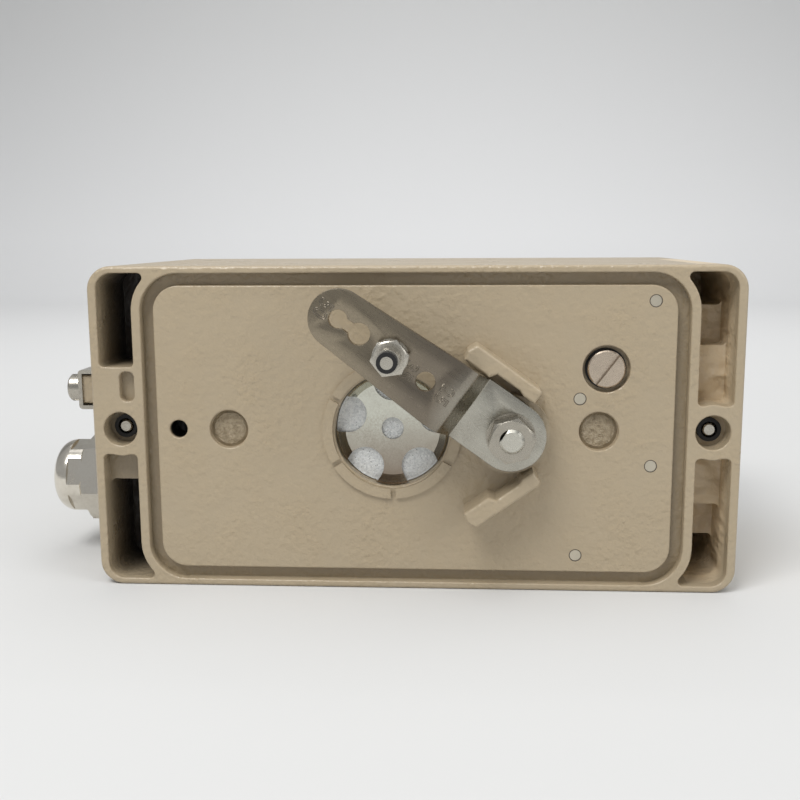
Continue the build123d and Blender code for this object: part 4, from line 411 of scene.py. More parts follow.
@dataclass(frozen=True)
class CastPaint(Finish):
    """Glossy powder coat on a die casting. Painted shade darkens the left pockets by depth, the seal groove, the
    dimple floors and the blind hole, and painted light brightens the right pockets, all scaled by one share.
    """

    warm: Colour = srgb(180, 161, 130)
    # painted shade colour for the deep left pockets
    dark: Colour = srgb(52, 44, 37)
    soil: Colour = srgb(132, 117, 94)
    shade: Colour = srgb(112, 96, 68)
    # painted light colour for the right pockets
    pale: Colour = srgb(224, 204, 172)
    peel_scale: float = 720.0
    peel_depth: float = 0.0005
    grit_scale: float = 700.0
    # share of the painted light and shade on the case: 1 for the case, 0 for the cover and the bare blocks
    painted_light_and_shade_share: float = 1.0

    def build(self) -> bpy.types.Material:
        """Makes the material."""
        material, graph, shader, where = self.start()
        powder = graph.group(powder_group(), {"Vector": where, "Scale": self.peel_scale})
        tone = graph.mix(graph.math("MULTIPLY", powder.outputs["Shade"], 0.35), self.colour, self.warm)
        marks = graph.group(
            grime_group(), {"Color": tone, "Tint": self.soil, "Vector": where, "Scale": 34.0, "Amount": 0.12}
        )
        places = graph.group(places_group(), {"Vector": where})
        # Painted shade in the seal groove, deeper towards its floor.
        groove_painted_shade = graph.math("MULTIPLY", places.outputs["Groove"], 0.45 * self.painted_light_and_shade_share)
        grit = graph.noise(where, self.grit_scale, 4.0, 0.7)
        # Dimple floors: rough cast mottle, darkened towards the shade colour as painted shade.
        dimple_mottle_share = graph.math("MULTIPLY", graph.remap(grit, 0.4, 0.6, 0.55, 0.0), self.painted_light_and_shade_share)
        dimple_mottle_and_shade = graph.math("MULTIPLY", places.outputs["Dimple"], dimple_mottle_share)
        # Painted light: the right pockets are brightened towards the pale colour.
        lit = graph.math("MULTIPLY", places.outputs["Pocket"], 0.75 * self.painted_light_and_shade_share)
        # Painted shade: the blind hole is near black inside.
        hole_painted_shade = graph.math("MULTIPLY", places.outputs["Hole"], self.painted_light_and_shade_share)
        pocket = graph.group(
            pocket_group(),
            {"Vector": where, "Inner": 0.0625, "Outer": 0.0795, "Top": 0.0398, "Start": 0.0012, "End": 0.019},
        )
        # Painted shade: deep in the left pockets the colour goes towards the dark colour.
        deep = graph.math("MULTIPLY", pocket.outputs["Mask"], self.painted_light_and_shade_share)
        # Groove and dimple floors are mixed towards the shade colour: painted shade.
        low = graph.mix(graph.math("MAXIMUM", groove_painted_shade, dimple_mottle_and_shade), marks.outputs["Color"], self.shade)
        right_pockets_painted_light = graph.mix(lit, low, self.pale)
        inner = graph.mix(deep, right_pockets_painted_light, self.dark)
        graph.tree.links.new(graph.mix(hole_painted_shade, inner, srgb(16, 13, 11)), shader.inputs["Base Color"])
        rough = graph.remap(powder.outputs["Shade"], 0.0, 1.0, 0.4, 0.26)
        graph.tree.links.new(rough, shader.inputs["Roughness"])
        shader.inputs["Specular IOR Level"].default_value = 0.55
        peel = graph.math("MULTIPLY", powder.outputs["Height"], graph.remap(powder.outputs["Shade"], 0.2, 1.0, 0.4, 1.2))
        rim = graph.math("MULTIPLY", graph.math("MULTIPLY", grit, 2.2), places.outputs["Dimple"])
        wave = graph.noise(graph.stretch(where, (0.6, 0.3, 1.0)), 260.0, 1.0)
        flow = graph.math("MULTIPLY", graph.math("MULTIPLY", wave, 5.0), places.outputs["Pocket"])
        relief = graph.math("ADD", graph.math("ADD", peel, rim), flow)
        self.bump(graph, shader, relief, self.peel_depth, 1.0)
        return material


@dataclass(frozen=True)
class SheetSteel(Finish):
    """Stainless sheet or bar, ground along a line and a little scuffed."""

    cloudy: Colour = srgb(150, 141, 130)
    scale: float = 900.0
    along: tuple[float, float, float] = (0.08, 1.0, 1.0)
    turn: float = 0.0
    rough: tuple[float, float] = (0.3, 0.44)
    grain: float = 0.000012

    def tone(self, graph: Graph, where: Any) -> Any:
        """Gives the sheet's colour."""
        return graph.mix(graph.remap(graph.noise(where, 60.0), 0.4, 0.6, 0.0, 0.4), self.colour, self.cloudy)

    def build(self) -> bpy.types.Material:
        """Makes the material."""
        material, graph, shader, where = self.start()
        inputs = {"Vector": where, "Axis": (0.0, 1.0, 0.0), "Angle": self.turn}
        turned = graph.node("ShaderNodeVectorRotate", inputs).outputs[0]
        lines = graph.stretch(turned, self.along)
        metal = graph.group(brushed_group(), {"Vector": where, "Lines": lines, "Scale": self.scale})
        speck = graph.remap(metal.outputs["Grit"], 0.35, 0.65, 0.0, 0.5)
        tone = graph.mix(graph.math("MULTIPLY", metal.outputs["Cloud"], speck), self.tone(graph, where), self.cloudy)
        graph.tree.links.new(tone, shader.inputs["Base Color"])
        shader.inputs["Metallic"].default_value = 1.0
        rough = graph.remap(metal.outputs["Height"], 0.35, 0.65, self.rough[0], self.rough[1])
        graph.tree.links.new(rough, shader.inputs["Roughness"])
        self.bump(graph, shader, metal.outputs["Height"], self.grain, 0.7)
        return material


@dataclass(frozen=True)
class LeverSheet(SheetSteel):
    """The lever's sheet, with a painted reflection along it: pale at the shaft, darkest a little further out,
    mid-toned on the outer end.
    """

    pale: Colour = srgb(182, 179, 168)
    # pale and dull are tones of the painted reflection along the lever
    dull: Colour = srgb(130, 121, 108)

    def tone(self, graph: Graph, where: Any) -> Any:
        """Gives the sheet's colour along the lever."""
        local = graph.stretch(graph.place(where, (SHAFT_X, 0.0, 0.0)), (1.0, 0.0, 1.0))
        reach = graph.node("ShaderNodeVectorMath", {0: local}, operation="LENGTH").outputs["Value"]
        # Painted reflection: pale near the shaft, dull a little further out, then the sheet's own colour at the outer
        # end.
        painted_reflection_band = graph.mix(graph.remap(reach, 12.0 * MM, 21.0 * MM, 0.0, 1.0), self.pale, self.dull)
        return graph.mix(graph.remap(reach, 27.0 * MM, 44.0 * MM, 0.0, 1.0), painted_reflection_band, self.colour)


@dataclass(frozen=True)
class VentSheet(SheetSteel):
    """Polished spring sheet, with a painted reflection: darker towards the bottom, lighter towards the top."""

    pale: Colour = srgb(204, 204, 192)

    def tone(self, graph: Graph, where: Any) -> Any:
        """Gives the sheet's colour from bottom to top."""
        # Painted reflection: the colour runs from dark at the bottom to pale at the top, with a cloudy edge.
        height = graph.node("ShaderNodeSeparateXYZ", {0: where}).outputs[2]
        cloud = graph.math("MULTIPLY", graph.noise(where, 90.0, 2.0), 10.0 * MM)
        level = graph.math("ADD", height, cloud)
        return graph.mix(graph.remap(level, -5.0 * MM, 9.0 * MM, 0.0, 1.0), self.colour, self.pale)


@dataclass(frozen=True)
class TurnedMetal(Finish):
    """Metal faced on a lathe, with rings round its own centre."""

    centre: tuple[float, float, float] = (0.0, 0.0, 0.0)
    pitch: float = 0.00042
    dull: Colour = srgb(140, 134, 122)
    rough: tuple[float, float] = (0.2, 0.34)

    def build(self) -> bpy.types.Material:
        """Makes the material."""
        material, graph, shader, where = self.start()
        local = graph.place(where, self.centre)
        rings = graph.group(rings_group(), {"Vector": local, "Pitch": self.pitch})
        metal = graph.group(brushed_group(), {"Vector": where, "Lines": where, "Scale": 1300.0})
        tone = graph.mix(graph.math("MULTIPLY", metal.outputs["Cloud"], 0.25), self.colour, self.dull)
        graph.tree.links.new(tone, shader.inputs["Base Color"])
        shader.inputs["Metallic"].default_value = 1.0
        rough = graph.remap(metal.outputs["Height"], 0.35, 0.65, self.rough[0], self.rough[1])
        graph.tree.links.new(rough, shader.inputs["Roughness"])
        relief = graph.math("ADD", rings.outputs["Height"], graph.math("MULTIPLY", metal.outputs["Grit"], 0.1))
        self.bump(graph, shader, relief, 0.000005, 0.6)
        return material


@dataclass(frozen=True)
class Plated(Finish):
    """Nickel or bare brass: bright, with fine scuffs and dull fingerprints."""

    dull: Colour = srgb(150, 140, 124)
    rough: tuple[float, float] = (0.16, 0.34)
    grain_scale: float = 700.0

    def build(self) -> bpy.types.Material:
        """Makes the material."""
        material, graph, shader, where = self.start()
        metal = graph.group(brushed_group(), {"Vector": where, "Lines": where, "Scale": self.grain_scale})
        marks = graph.group(
            grime_group(), {"Color": self.colour, "Tint": self.dull, "Vector": where, "Scale": 120.0, "Amount": 0.7}
        )
        graph.tree.links.new(marks.outputs["Color"], shader.inputs["Base Color"])
        shader.inputs["Metallic"].default_value = 1.0
        rough = graph.remap(marks.outputs["Mask"], 0.0, 1.0, self.rough[0], self.rough[1])
        graph.tree.links.new(rough, shader.inputs["Roughness"])
        self.bump(graph, shader, metal.outputs["Height"], 0.00001, 0.5)
        return material


@dataclass(frozen=True)
class Moulded(Finish):
    """Moulded plastic or rubber with a fine spark-eroded grain."""

    pale: Colour = srgb(90, 88, 86)
    rough: tuple[float, float] = (0.42, 0.6)
    grain_scale: float = 2600.0
    grain_depth: float = 0.00003
    bloom: float = 0.25

    def build(self) -> bpy.types.Material:
        """Makes the material."""
        material, graph, shader, where = self.start()
        powder = graph.group(powder_group(), {"Vector": where, "Scale": self.grain_scale})
        marks = graph.group(
            grime_group(), {"Color": self.colour, "Tint": self.pale, "Vector": where, "Scale": 90.0, "Amount": self.bloom}
        )
        graph.tree.links.new(marks.outputs["Color"], shader.inputs["Base Color"])
        rough = graph.remap(powder.outputs["Shade"], 0.0, 1.0, self.rough[0], self.rough[1])
        graph.tree.links.new(rough, shader.inputs["Roughness"])
        self.bump(graph, shader, powder.outputs["Height"], self.grain_depth, 0.6)
        return material


@dataclass(frozen=True)
class FilterPad(Finish):
    """Pressed granules of the vent's filter."""

    light: Colour = srgb(232, 233, 231)
    pore: Colour = srgb(104, 104, 102)
    scale: float = 2300.0

    def build(self) -> bpy.types.Material:
        """Makes the material."""
        material, graph, shader, where = self.start()
        grains = graph.group(granule_group(), {"Vector": where, "Scale": self.scale})
        share = graph.node("ShaderNodeSeparateColor", {0: grains.outputs["Shade"]}).outputs[0]
        tone = graph.mix(share, self.colour, self.light)
        graph.tree.links.new(graph.mix(grains.outputs["Speck"], tone, self.pore), shader.inputs["Base Color"])
        rough = graph.remap(share, 0.0, 1.0, 0.6, 0.9)
        graph.tree.links.new(rough, shader.inputs["Roughness"])
        self.bump(graph, shader, grains.outputs["Height"], 0.00012, 0.8)
        return material


@dataclass(frozen=True)
class Board(Finish):
    """Green varnish over copper tracks."""

    track: Colour = srgb(54, 118, 72)
    pad: Colour = srgb(196, 190, 170)

    def build(self) -> bpy.types.Material:
        """Makes the material."""
        material, graph, shader, where = self.start()
        lines = graph.group(tracks_group(), {"Vector": where, "Scale": 120.0})
        weave = graph.noise(graph.stretch(where, (1.0, 1.0, 3.0)), 1500.0, 2.0)
        tone = graph.mix(lines.outputs["Track"], self.colour, self.track)
        tone = graph.mix(graph.remap(weave, 0.3, 0.7, 0.0, 0.3), tone, srgb(24, 72, 44))
        graph.tree.links.new(graph.mix(lines.outputs["Pad"], tone, self.pad), shader.inputs["Base Color"])
        graph.tree.links.new(graph.remap(lines.outputs["Pad"], 0.0, 1.0, 0.0, 0.9), shader.inputs["Metallic"])
        graph.tree.links.new(graph.remap(weave, 0.3, 0.7, 0.24, 0.4), shader.inputs["Roughness"])
        self.bump(graph, shader, lines.outputs["Track"], 0.00004, 0.7)
        return material


@dataclass(frozen=True)
class ClearPane(Finish):
    """Clear glass or polycarbonate with faint wiping marks."""

    ior: float = 1.5

    def build(self) -> bpy.types.Material:
        """Makes the material."""
        material, graph, shader, where = self.start()
        shader.inputs["Transmission Weight"].default_value = 1.0
        shader.inputs["IOR"].default_value = self.ior
        smear = graph.noise(graph.stretch(where, (1.0, 1.0, 0.25)), 160.0, 4.0, 0.6)
        marks = graph.group(
            grime_group(),
            {"Color": self.colour, "Tint": srgb(214, 220, 220), "Vector": where, "Scale": 70.0, "Amount": 0.3},
        )
        graph.tree.links.new(marks.outputs["Color"], shader.inputs["Base Color"])
        graph.tree.links.new(graph.remap(smear, 0.45, 0.75, 0.02, 0.09), shader.inputs["Roughness"])
        self.bump(graph, shader, smear, 0.000004, 0.4)
        return material


@dataclass(frozen=True)
class ScreenGlow(Finish):
    """Grey-green liquid crystal face with its fine cell pattern."""

    light: Colour = srgb(168, 180, 150)

    def build(self) -> bpy.types.Material:
        """Makes the material."""
        material, graph, shader, where = self.start()
        grid = graph.node(
            "ShaderNodeTexChecker", {"Vector": where, "Scale": 2400.0, "Color1": self.colour, "Color2": self.light}
        )
        haze = graph.noise(where, 60.0, 3.0)
        tone = graph.mix(graph.remap(haze, 0.3, 0.7, 0.1, 0.5), grid.outputs[0], self.light)
        graph.tree.links.new(tone, shader.inputs["Base Color"])
        graph.tree.links.new(graph.remap(haze, 0.3, 0.7, 0.3, 0.42), shader.inputs["Roughness"])
        self.bump(graph, shader, haze, 0.000006, 0.3)
        return material


class Look(Enum):
    """Every finish of the part."""

    CASE = CastPaint("case_powder_coat", srgb(172, 157, 132))
    COVER = CastPaint("cover_powder_coat", srgb(172, 157, 132), painted_light_and_shade_share=0.0)
    LEVER = LeverSheet("lever_sheet", srgb(152, 141, 122), cloudy=srgb(116, 107, 95), turn=-LEVER_ANGLE,
        scale=1500.0, rough=(0.22, 0.36), grain=0.00003)
    STEEL = SheetSteel("bright_steel", srgb(190, 185, 174), cloudy=srgb(150, 143, 132), rough=(0.2, 0.34))
    # bottom colour of the painted reflection on the vent disc
    SPRING_STEEL = VentSheet("vent_sheet", srgb(140, 126, 112), cloudy=srgb(140, 128, 114), rough=(0.14, 0.2),
        grain=0.000003)
    LEVER_NUT = TurnedMetal("lever_nut_steel", srgb(178, 172, 160), centre=(0.0243, 0.0, 0.0))
    SHAFT = TurnedMetal("shaft_steel", srgb(206, 203, 192), centre=(0.0243, 0.0, 0.0), pitch=0.0006)
    PIN = TurnedMetal("pin_steel", srgb(196, 191, 180), centre=(-0.004194, 0.0, 0.020324))
    SCREW = TurnedMetal("screw_steel", srgb(204, 188, 170), centre=(0.0478, 0.0, 0.0156))
    PLUG = TurnedMetal("channel_plug_metal", srgb(214, 206, 188), centre=(0.0592, 0.0, 0.0323), rough=(0.34, 0.5))
    NICKEL = Plated("nickel_plate", srgb(226, 220, 208), dull=srgb(182, 174, 160))
    BRASS = Plated("bare_brass", srgb(196, 160, 92), dull=srgb(140, 108, 62))
    CAST_ALLOY = CastPaint(
        "bare_casting", srgb(158, 157, 152), warm=srgb(146, 144, 138), dark=srgb(120, 118, 114), painted_light_and_shade_share=0.0
    )
    RUBBER = Moulded("black_rubber", srgb(22, 21, 21), pale=srgb(44, 43, 42), rough=(0.55, 0.75))
    # painted shade: the dark ring in the gap round each channel plug
    GAP_SHADE = Moulded("painted_gap_shade", srgb(72, 64, 52), pale=srgb(96, 86, 70), rough=(0.3, 0.5))
    BLACK = Moulded("black_plastic", srgb(34, 34, 35), pale=srgb(70, 70, 70))
    WHITE = Moulded("white_plastic", srgb(222, 221, 214), pale=srgb(200, 196, 184), bloom=0.4)
    BUSH = Moulded("bush_plastic", srgb(58, 54, 48), pale=srgb(96, 90, 80))
    GREEN = Moulded("green_plastic", srgb(52, 128, 78), pale=srgb(92, 156, 108), rough=(0.36, 0.52))
    PANEL = Moulded("panel_grey", srgb(120, 124, 128), pale=srgb(148, 150, 152), rough=(0.4, 0.55))
    BOARD = Board("circuit_board", srgb(30, 88, 52))
    FILTER = FilterPad("filter_pad", srgb(206, 208, 207))
    MAGNET = Plated("magnet_nickel", srgb(150, 150, 152), dull=srgb(118, 118, 120), rough=(0.3, 0.45))
    CLEAR = ClearPane("clear_pane", srgb(236, 240, 238))
    SCREEN = ScreenGlow("screen_face", srgb(150, 162, 134))
    INK = Moulded("screen_ink", srgb(26, 30, 28), pale=srgb(44, 50, 46), rough=(0.4, 0.5))
    # Darker colour of the raised digit outlines: painted shade standing in for the stamped grooves.
    STAMP = TurnedMetal("stamped_edge", srgb(128, 120, 108), centre=(0.0, 0.0, 0.0), rough=(0.16, 0.26))


class Paintbox:
    """Makes each finish once and hands it out."""

    def __init__(self) -> None:
        """Starts empty."""
        self.made: dict[Look, bpy.types.Material] = {}

    def get(self, look: Look) -> bpy.types.Material:
        """Gives the material of a finish."""
        if look not in self.made:
            self.made[look] = look.value.build()
        return self.made[look]


# ---- pieces


def lay(centre: tuple[float, float, float], right: Vector, up: Vector) -> Matrix:
    """Places a flat drawing.

    Args:
        centre: where the drawing's zero goes.
        right: the direction of its X.
        up: the direction of its Y.

    Returns:
        The matrix that takes the drawing there.
    """
    out = right.cross(up)
    turn = Matrix((right, up, out)).transposed().to_4x4()
    return Matrix.Translation(Vector(centre)) @ turn


@dataclass
class Assembly:
    """A group of pieces that share one maker."""

    nodes: dict[str, bpy.types.Object]
    paints: Paintbox
    pieces: list[bpy.types.Object] = field(default_factory=list)

    def dress(self, look: Look, names: Iterable[str]) -> None:
        """Gives CAD nodes a finish.

        Args:
            look: the finish.
            names: the nodes that get it.
        """
        material = self.paints.get(look)
        for name in names:
            for slot in self.nodes[name].material_slots:
                slot.material = material
            self.pieces.append(self.nodes[name])

    def add(self, name: str, mesh: bmesh.types.BMesh, look: Look, body: str, slot: str, sharp: float = 35.0) -> Any:
        """Turns a bmesh into a piece of the part.

        Args:
            name: the piece's name.
            mesh: its shape, freed here.
            look: its finish.
            body: the CAD body that it rides on.
            slot: the record's material slot; not used.
            sharp: the angle in degrees over which an edge stays sharp.

        Returns:
            The new object.
        """
        bmesh.ops.recalc_face_normals(mesh, faces=mesh.faces)
        data = bpy.data.meshes.new(name)
        mesh.to_mesh(data)
        mesh.free()
        data.polygons.foreach_set("use_smooth", [True] * len(data.polygons))
        data.set_sharp_from_angle(angle=math.radians(sharp))
        data.materials.append(self.paints.get(look))
        made = bpy.data.objects.new(name, data)
        bpy.context.scene.collection.objects.link(made)
        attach(made, body)
        self.pieces.append(made)
        return made

    def report(self) -> None:
        """Logs each piece."""
        for piece in self.pieces:
            LOG.info("%s: %s, %d faces", type(self).__name__, piece.name, len(piece.data.polygons))


def revolve(points: Iterable[tuple[float, float]], steps: int, place: Matrix) -> bmesh.types.BMesh:
    """Turns a closed outline round the Z axis.

    Args:
        points: radius and height of each corner, in order.
        steps: faces round the turn.
        place: where the turned shape goes.

    Returns:
        The shape.
    """
    mesh = bmesh.new()
    corners = [mesh.verts.new((reach, 0.0, height)) for reach, height in points]
    edges = [mesh.edges.new((a, b)) for a, b in zip(corners, corners[1:] + corners[:1], strict=True)]
    bmesh.ops.spin(
        mesh,
        geom=corners + edges,
        cent=(0.0, 0.0, 0.0),
        axis=(0.0, 0.0, 1.0),
        angle=math.tau,
        steps=steps,
        use_merge=True,
    )
    bmesh.ops.remove_doubles(mesh, verts=mesh.verts, dist=1e-7)
    mesh.transform(place)
    return mesh


def helix(reach: float, depth: float, pitch: float, length: float, steps: int, place: Matrix) -> bmesh.types.BMesh:
    """Makes the ridge of a thread.

    Args:
        reach: radius of the ridge's foot.
        depth: height of the ridge, below zero for an inside thread.
        pitch: rise of one turn.
        length: how far the thread goes.
        steps: faces in one turn.
        place: where its axis goes.

    Returns:
        The ridge as a closed shape.
    """
    mesh = bmesh.new()
    turns = length / pitch
    foot = 0.42 * pitch
    corners = [mesh.verts.new(spot) for spot in ((reach, 0.0, -foot), (reach + depth, 0.0, 0.0), (reach, 0.0, foot))]
    start = mesh.faces.new(corners)
    total = int(steps * turns)
    made = bmesh.ops.spin(
        mesh,
        geom=[*start.edges, *corners],
        cent=(0.0, 0.0, 0.0),
        axis=(0.0, 0.0, 1.0),
        dvec=(0.0, 0.0, pitch / steps),
        angle=math.tau * total / steps,
        steps=total,
    )
    ends = [v for v in made["geom_last"] if isinstance(v, bmesh.types.BMVert)]
    mesh.faces.new(ends)
    mesh.transform(place)
    return mesh


def lettering(text: str, size: float, line: float, place: Matrix) -> bmesh.types.BMesh:
    """Makes digits as outlines or as filled shapes.

    Args:
        text: the digits.
        size: height of a line of text.
        line: radius of the outline, or 0 for filled digits.
        place: where the text goes.

    Returns:
        The digits as a mesh in place.
    """
    curve = bpy.data.curves.new("digits", "FONT")
    curve.body = text
    curve.size = size
    curve.align_x = "CENTER"
    curve.align_y = "CENTER"
    curve.resolution_u = 6
    if line > 0.0:
        curve.fill_mode = "NONE"
        curve.bevel_depth = line
        curve.bevel_resolution = 2
    else:
        curve.extrude = size * 0.01
    holder = bpy.data.objects.new("digits", curve)
    bpy.context.scene.collection.objects.link(holder)
    graph = bpy.context.evaluated_depsgraph_get()
    data = bpy.data.meshes.new_from_object(holder.evaluated_get(graph))
    mesh = bmesh.new()
    mesh.from_mesh(data)
    bpy.data.objects.remove(holder)
    bpy.data.curves.remove(curve)
    bpy.data.meshes.remove(data)
    bmesh.ops.remove_doubles(mesh, verts=mesh.verts, dist=1e-6)
    mesh.transform(place)
    return mesh


@dataclass
class Case(Assembly):
    """The die-cast case with what is fixed to it outside."""

    port_y: float = 23.0 * MM
    port_z: float = 15.0 * MM
    port_reach: float = 5.72 * MM
    port_length: float = 12.0 * MM
    port_pitch: float = 1.34 * MM
    half_width: float = 81.0 * MM
    plate_y: float = 0.8 * MM
    plug_reach: float = 1.45 * MM
    plug_places: tuple[tuple[float, float], ...] = ((59.2, 32.3), (41.5, 8.2), (59.2, -8.6), (41.2, -31.8))
    mark_places: tuple[tuple[float, float, float], ...] = (
        (-31.3, 0.0, 2.6),
        (-31.0, 27.0, 2.2),
        (12.0, -29.0, 2.2),
        (31.5, 29.5, 2.2),
        (-52.5, -26.0, 2.2),
    )

    def build(self) -> None:
        """Dresses the case and adds its small marks."""
        self.dress(Look.CASE, ["housing"])
        self.dress(Look.STEEL, ["mounting_screws", "earth_screw", "earth_clamp", "earth_spring_washer"])
        self.dress(Look.SCREW, ["plug_screw"])
        self.dress(Look.PLUG, ["channel_plugs"])
        self.dress(Look.RUBBER, ["screw_seal_rings", "plug_seal"])
        self.dress(Look.STEEL, ["port_inserts", "port_strainers"])
        self.plug_gap_shade()
        self.port_threads()
        self.ejector_marks()

    def plug_gap_shade(self) -> None:
        """Lays a thin dark ring round each channel plug: painted shade in the gap round the plug."""
        for number, (along, height) in enumerate(self.plug_places):
            place = lay((along * MM, self.plate_y, height * MM), Vector((1.0, 0.0, 0.0)), Vector((0.0, 0.0, 1.0)))
            inner, outer = self.plug_reach - 0.06 * MM, self.plug_reach + 0.14 * MM
            middle = (inner + outer) / 2
            outline = [(inner, -0.14 * MM), (outer, -0.14 * MM), (outer, 0.01 * MM), (middle, 0.05 * MM), (inner, 0.01 * MM)]
            self.add(f"plug_gap_shade_{number}", revolve(outline, 48, place), Look.GAP_SHADE, "case", "black_rubber")

    def port_threads(self) -> None:
        """Cuts the look of a thread into both air ports."""
        for name, side in (("upper", 1.0), ("lower", -1.0)):
            spot = (self.half_width - self.port_length + 0.9 * MM, self.port_y, side * self.port_z)
            place = lay(spot, Vector((0.0, 1.0, 0.0)), Vector((0.0, 0.0, 1.0)))
            ridge = helix(
                self.port_reach + 0.05 * MM, -0.5 * MM, self.port_pitch, self.port_length - 2.6 * MM, 48, place
            )
            self.add(f"{name}_port_thread", ridge, Look.STEEL, "case", "stainless", sharp=30.0)

    def ejector_marks(self) -> None:
        """Leaves the faint round marks of the ejector pins on the back plate."""
        for number, (along, height, reach) in enumerate(self.mark_places):
            place = lay(
                (along * MM, self.plate_y, height * MM), Vector((1.0, 0.0, 0.0)), Vector((0.0, 0.0, 1.0))
            )
            outer = reach * MM
            outline = [(outer - 0.16 * MM, -0.1 * MM), (outer, -0.1 * MM), (outer, 0.01 * MM)]
            outline += [(outer - 0.05 * MM, 0.03 * MM), (outer - 0.11 * MM, 0.03 * MM), (outer - 0.16 * MM, 0.01 * MM)]
            ring = revolve(outline, 48, place)
            self.add(f"ejector_mark_{number}", ring, Look.CASE, "case", "case_paint")


@dataclass
class Vent(Assembly):
    """The exhaust vent with its pressed filter."""

    rings: int = 96
    steps: int = 300
    grain: float = 0.42 * MM
    lift: float = 0.16 * MM

    def build(self) -> None:
        """Dresses the star disc and makes the filter's grains."""
        self.dress(Look.SPRING_STEEL, ["vent_retainer"])
        low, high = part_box("vent_foam")
        centre = (low + high) / 2
        reach = (high.x - low.x) / 2
        step = reach / self.rings
        outline = [(0.0, 0.0)] + [(step * (index + 1), 0.0) for index in range(self.rings)]
        mesh = bmesh.new()
        corners = [mesh.verts.new((distance, 0.0, height)) for distance, height in outline]
        edges = [mesh.edges.new(pair) for pair in zip(corners, corners[1:])]
        bmesh.ops.spin(
            mesh,
            geom=corners + edges,
            cent=(0.0, 0.0, 0.0),
            axis=(0.0, 0.0, 1.0),
            angle=math.tau,
            steps=self.steps,
            use_merge=True,
        )
        bmesh.ops.remove_doubles(mesh, verts=mesh.verts, dist=1e-7)
        for vert in mesh.verts:
            if vert.co.length > reach - 1.5 * step:
                continue
            distances, _ = noise.voronoi(vert.co / self.grain)
            slow = noise.noise(vert.co / (3.0 * MM))
            vert.co.z -= self.lift * min(1.0, distances[0]) + 0.06 * MM * (1.0 + slow)
        rim = [edge for edge in mesh.edges if edge.is_boundary]
        wall = bmesh.ops.extrude_edge_only(mesh, edges=rim)
        lower = [item for item in wall["geom"] if isinstance(item, bmesh.types.BMVert)]
        bmesh.ops.translate(mesh, verts=lower, vec=(0.0, 0.0, low.y - high.y))
        under = [edge for edge in mesh.edges if edge.is_boundary]
        bmesh.ops.edgeloop_fill(mesh, edges=under)
        mesh.transform(lay((centre.x, low.y, centre.z), Vector((1.0, 0.0, 0.0)), Vector((0.0, 0.0, 1.0))))
        pad = self.add("vent_filter", mesh, Look.FILTER, "case", "filter_foam", sharp=80.0)
        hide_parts("vent_foam")


@dataclass
class FeedbackLever(Assembly):
    """The lever that follows the valve's stem, with its shaft and pin."""

    angle: float = math.radians(35.5)
    shaft_x: float = 24.3 * MM
    face_height: float = 14.2 * MM
    edge: float = 0.22 * MM
    digit_size: float = 4.9 * MM
    digit_line: float = 0.125 * MM
    digit_spots: tuple[tuple[str, float], ...] = (("50", 54.3), ("35", 29.9), ("25", 19.7))

    def build(self) -> None:
        """Dresses the shaft and pin and makes the lever's own skin and digits."""
        self.dress(Look.LEVER_NUT, ["lever_nut", "lever_washer"])
        self.dress(Look.SHAFT, ["lever_shaft"])
        self.dress(Look.PIN, ["follower_pin", "pin_nut"])
        self.dress(Look.RUBBER, ["pin_end_ring", "shaft_seal"])
        self.dress(Look.STEEL, ["shaft_circlip", "return_spring"])
        self.dress(Look.BUSH, ["shaft_bush_outer", "shaft_bush_inner"])
        self.dress(Look.BLACK, ["magnet_holder"])
        self.dress(Look.MAGNET, ["sensor_magnet"])
        self.skin()
        self.digits()

    def skin(self) -> None:
        """Copies the lever with its sheet edges broken."""
        mesh = bmesh.new()
        mesh.from_mesh(self.nodes["lever"].data)
        bmesh.ops.remove_doubles(mesh, verts=mesh.verts, dist=2e-6)
        bmesh.ops.dissolve_limit(
            mesh, angle_limit=math.radians(0.6), verts=mesh.verts, edges=mesh.edges, use_dissolve_boundaries=False
        )
        bmesh.ops.recalc_face_normals(mesh, faces=mesh.faces)
        hard = [e for e in mesh.edges if e.is_manifold and e.calc_face_angle() > math.radians(50.0)]
        bmesh.ops.bevel(
            mesh,
            geom=hard,
            offset=self.edge,
            offset_type="OFFSET",
            segments=2,
            profile=0.5,
            affect="EDGES",
            clamp_overlap=True,
            material=-1,
        )
        made = self.add("lever_sheet", mesh, Look.LEVER, "lever", "stainless", sharp=32.0)
        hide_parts("lever")

    def digits(self) -> None:
        """Stamps the hole distances across the lever."""
        along = Vector((-math.cos(self.angle), 0.0, math.sin(self.angle)))
        across = Vector((-math.sin(self.angle), 0.0, -math.cos(self.angle)))
        for text, reach in self.digit_spots:
            spot = Vector((self.shaft_x, -self.face_height, 0.0)) + along * (reach * MM)
            if text != "50":
                spot += across * (0.2 * MM)
            mesh = lettering(text, self.digit_size, self.digit_line, lay(tuple(spot), across, -along))
            # The digits take the darker stamp colour: painted shade of the stamped grooves.
            self.add(f"lever_mark_{text}", mesh, Look.STAMP, "lever", "stainless", sharp=60.0)


@dataclass
class CableEntry(Assembly):
    """The cable gland and the plug of the second entry."""

    def build(self) -> None:
        """Dresses the pieces of both entries."""
        self.dress(Look.NICKEL, ["gland_body", "gland_cap", "blanking_plug"])
        self.dress(Look.RUBBER, ["gland_seal", "gland_gasket", "blanking_gasket"])


@dataclass
class FrontCover(Assembly):
    """The cover over the operator panel."""

    def build(self) -> None:
        """Dresses the cover, its window and its screws."""
        self.dress(Look.COVER, ["front_cover"])
        self.dress(Look.CLEAR, ["cover_window"])
        self.dress(Look.RUBBER, ["cover_gasket"])
        self.dress(Look.STEEL, ["cover_screws"])


@dataclass
class Segment:
    """One bar of a seven-bar digit."""

    x: float
    y: float
    upright: bool


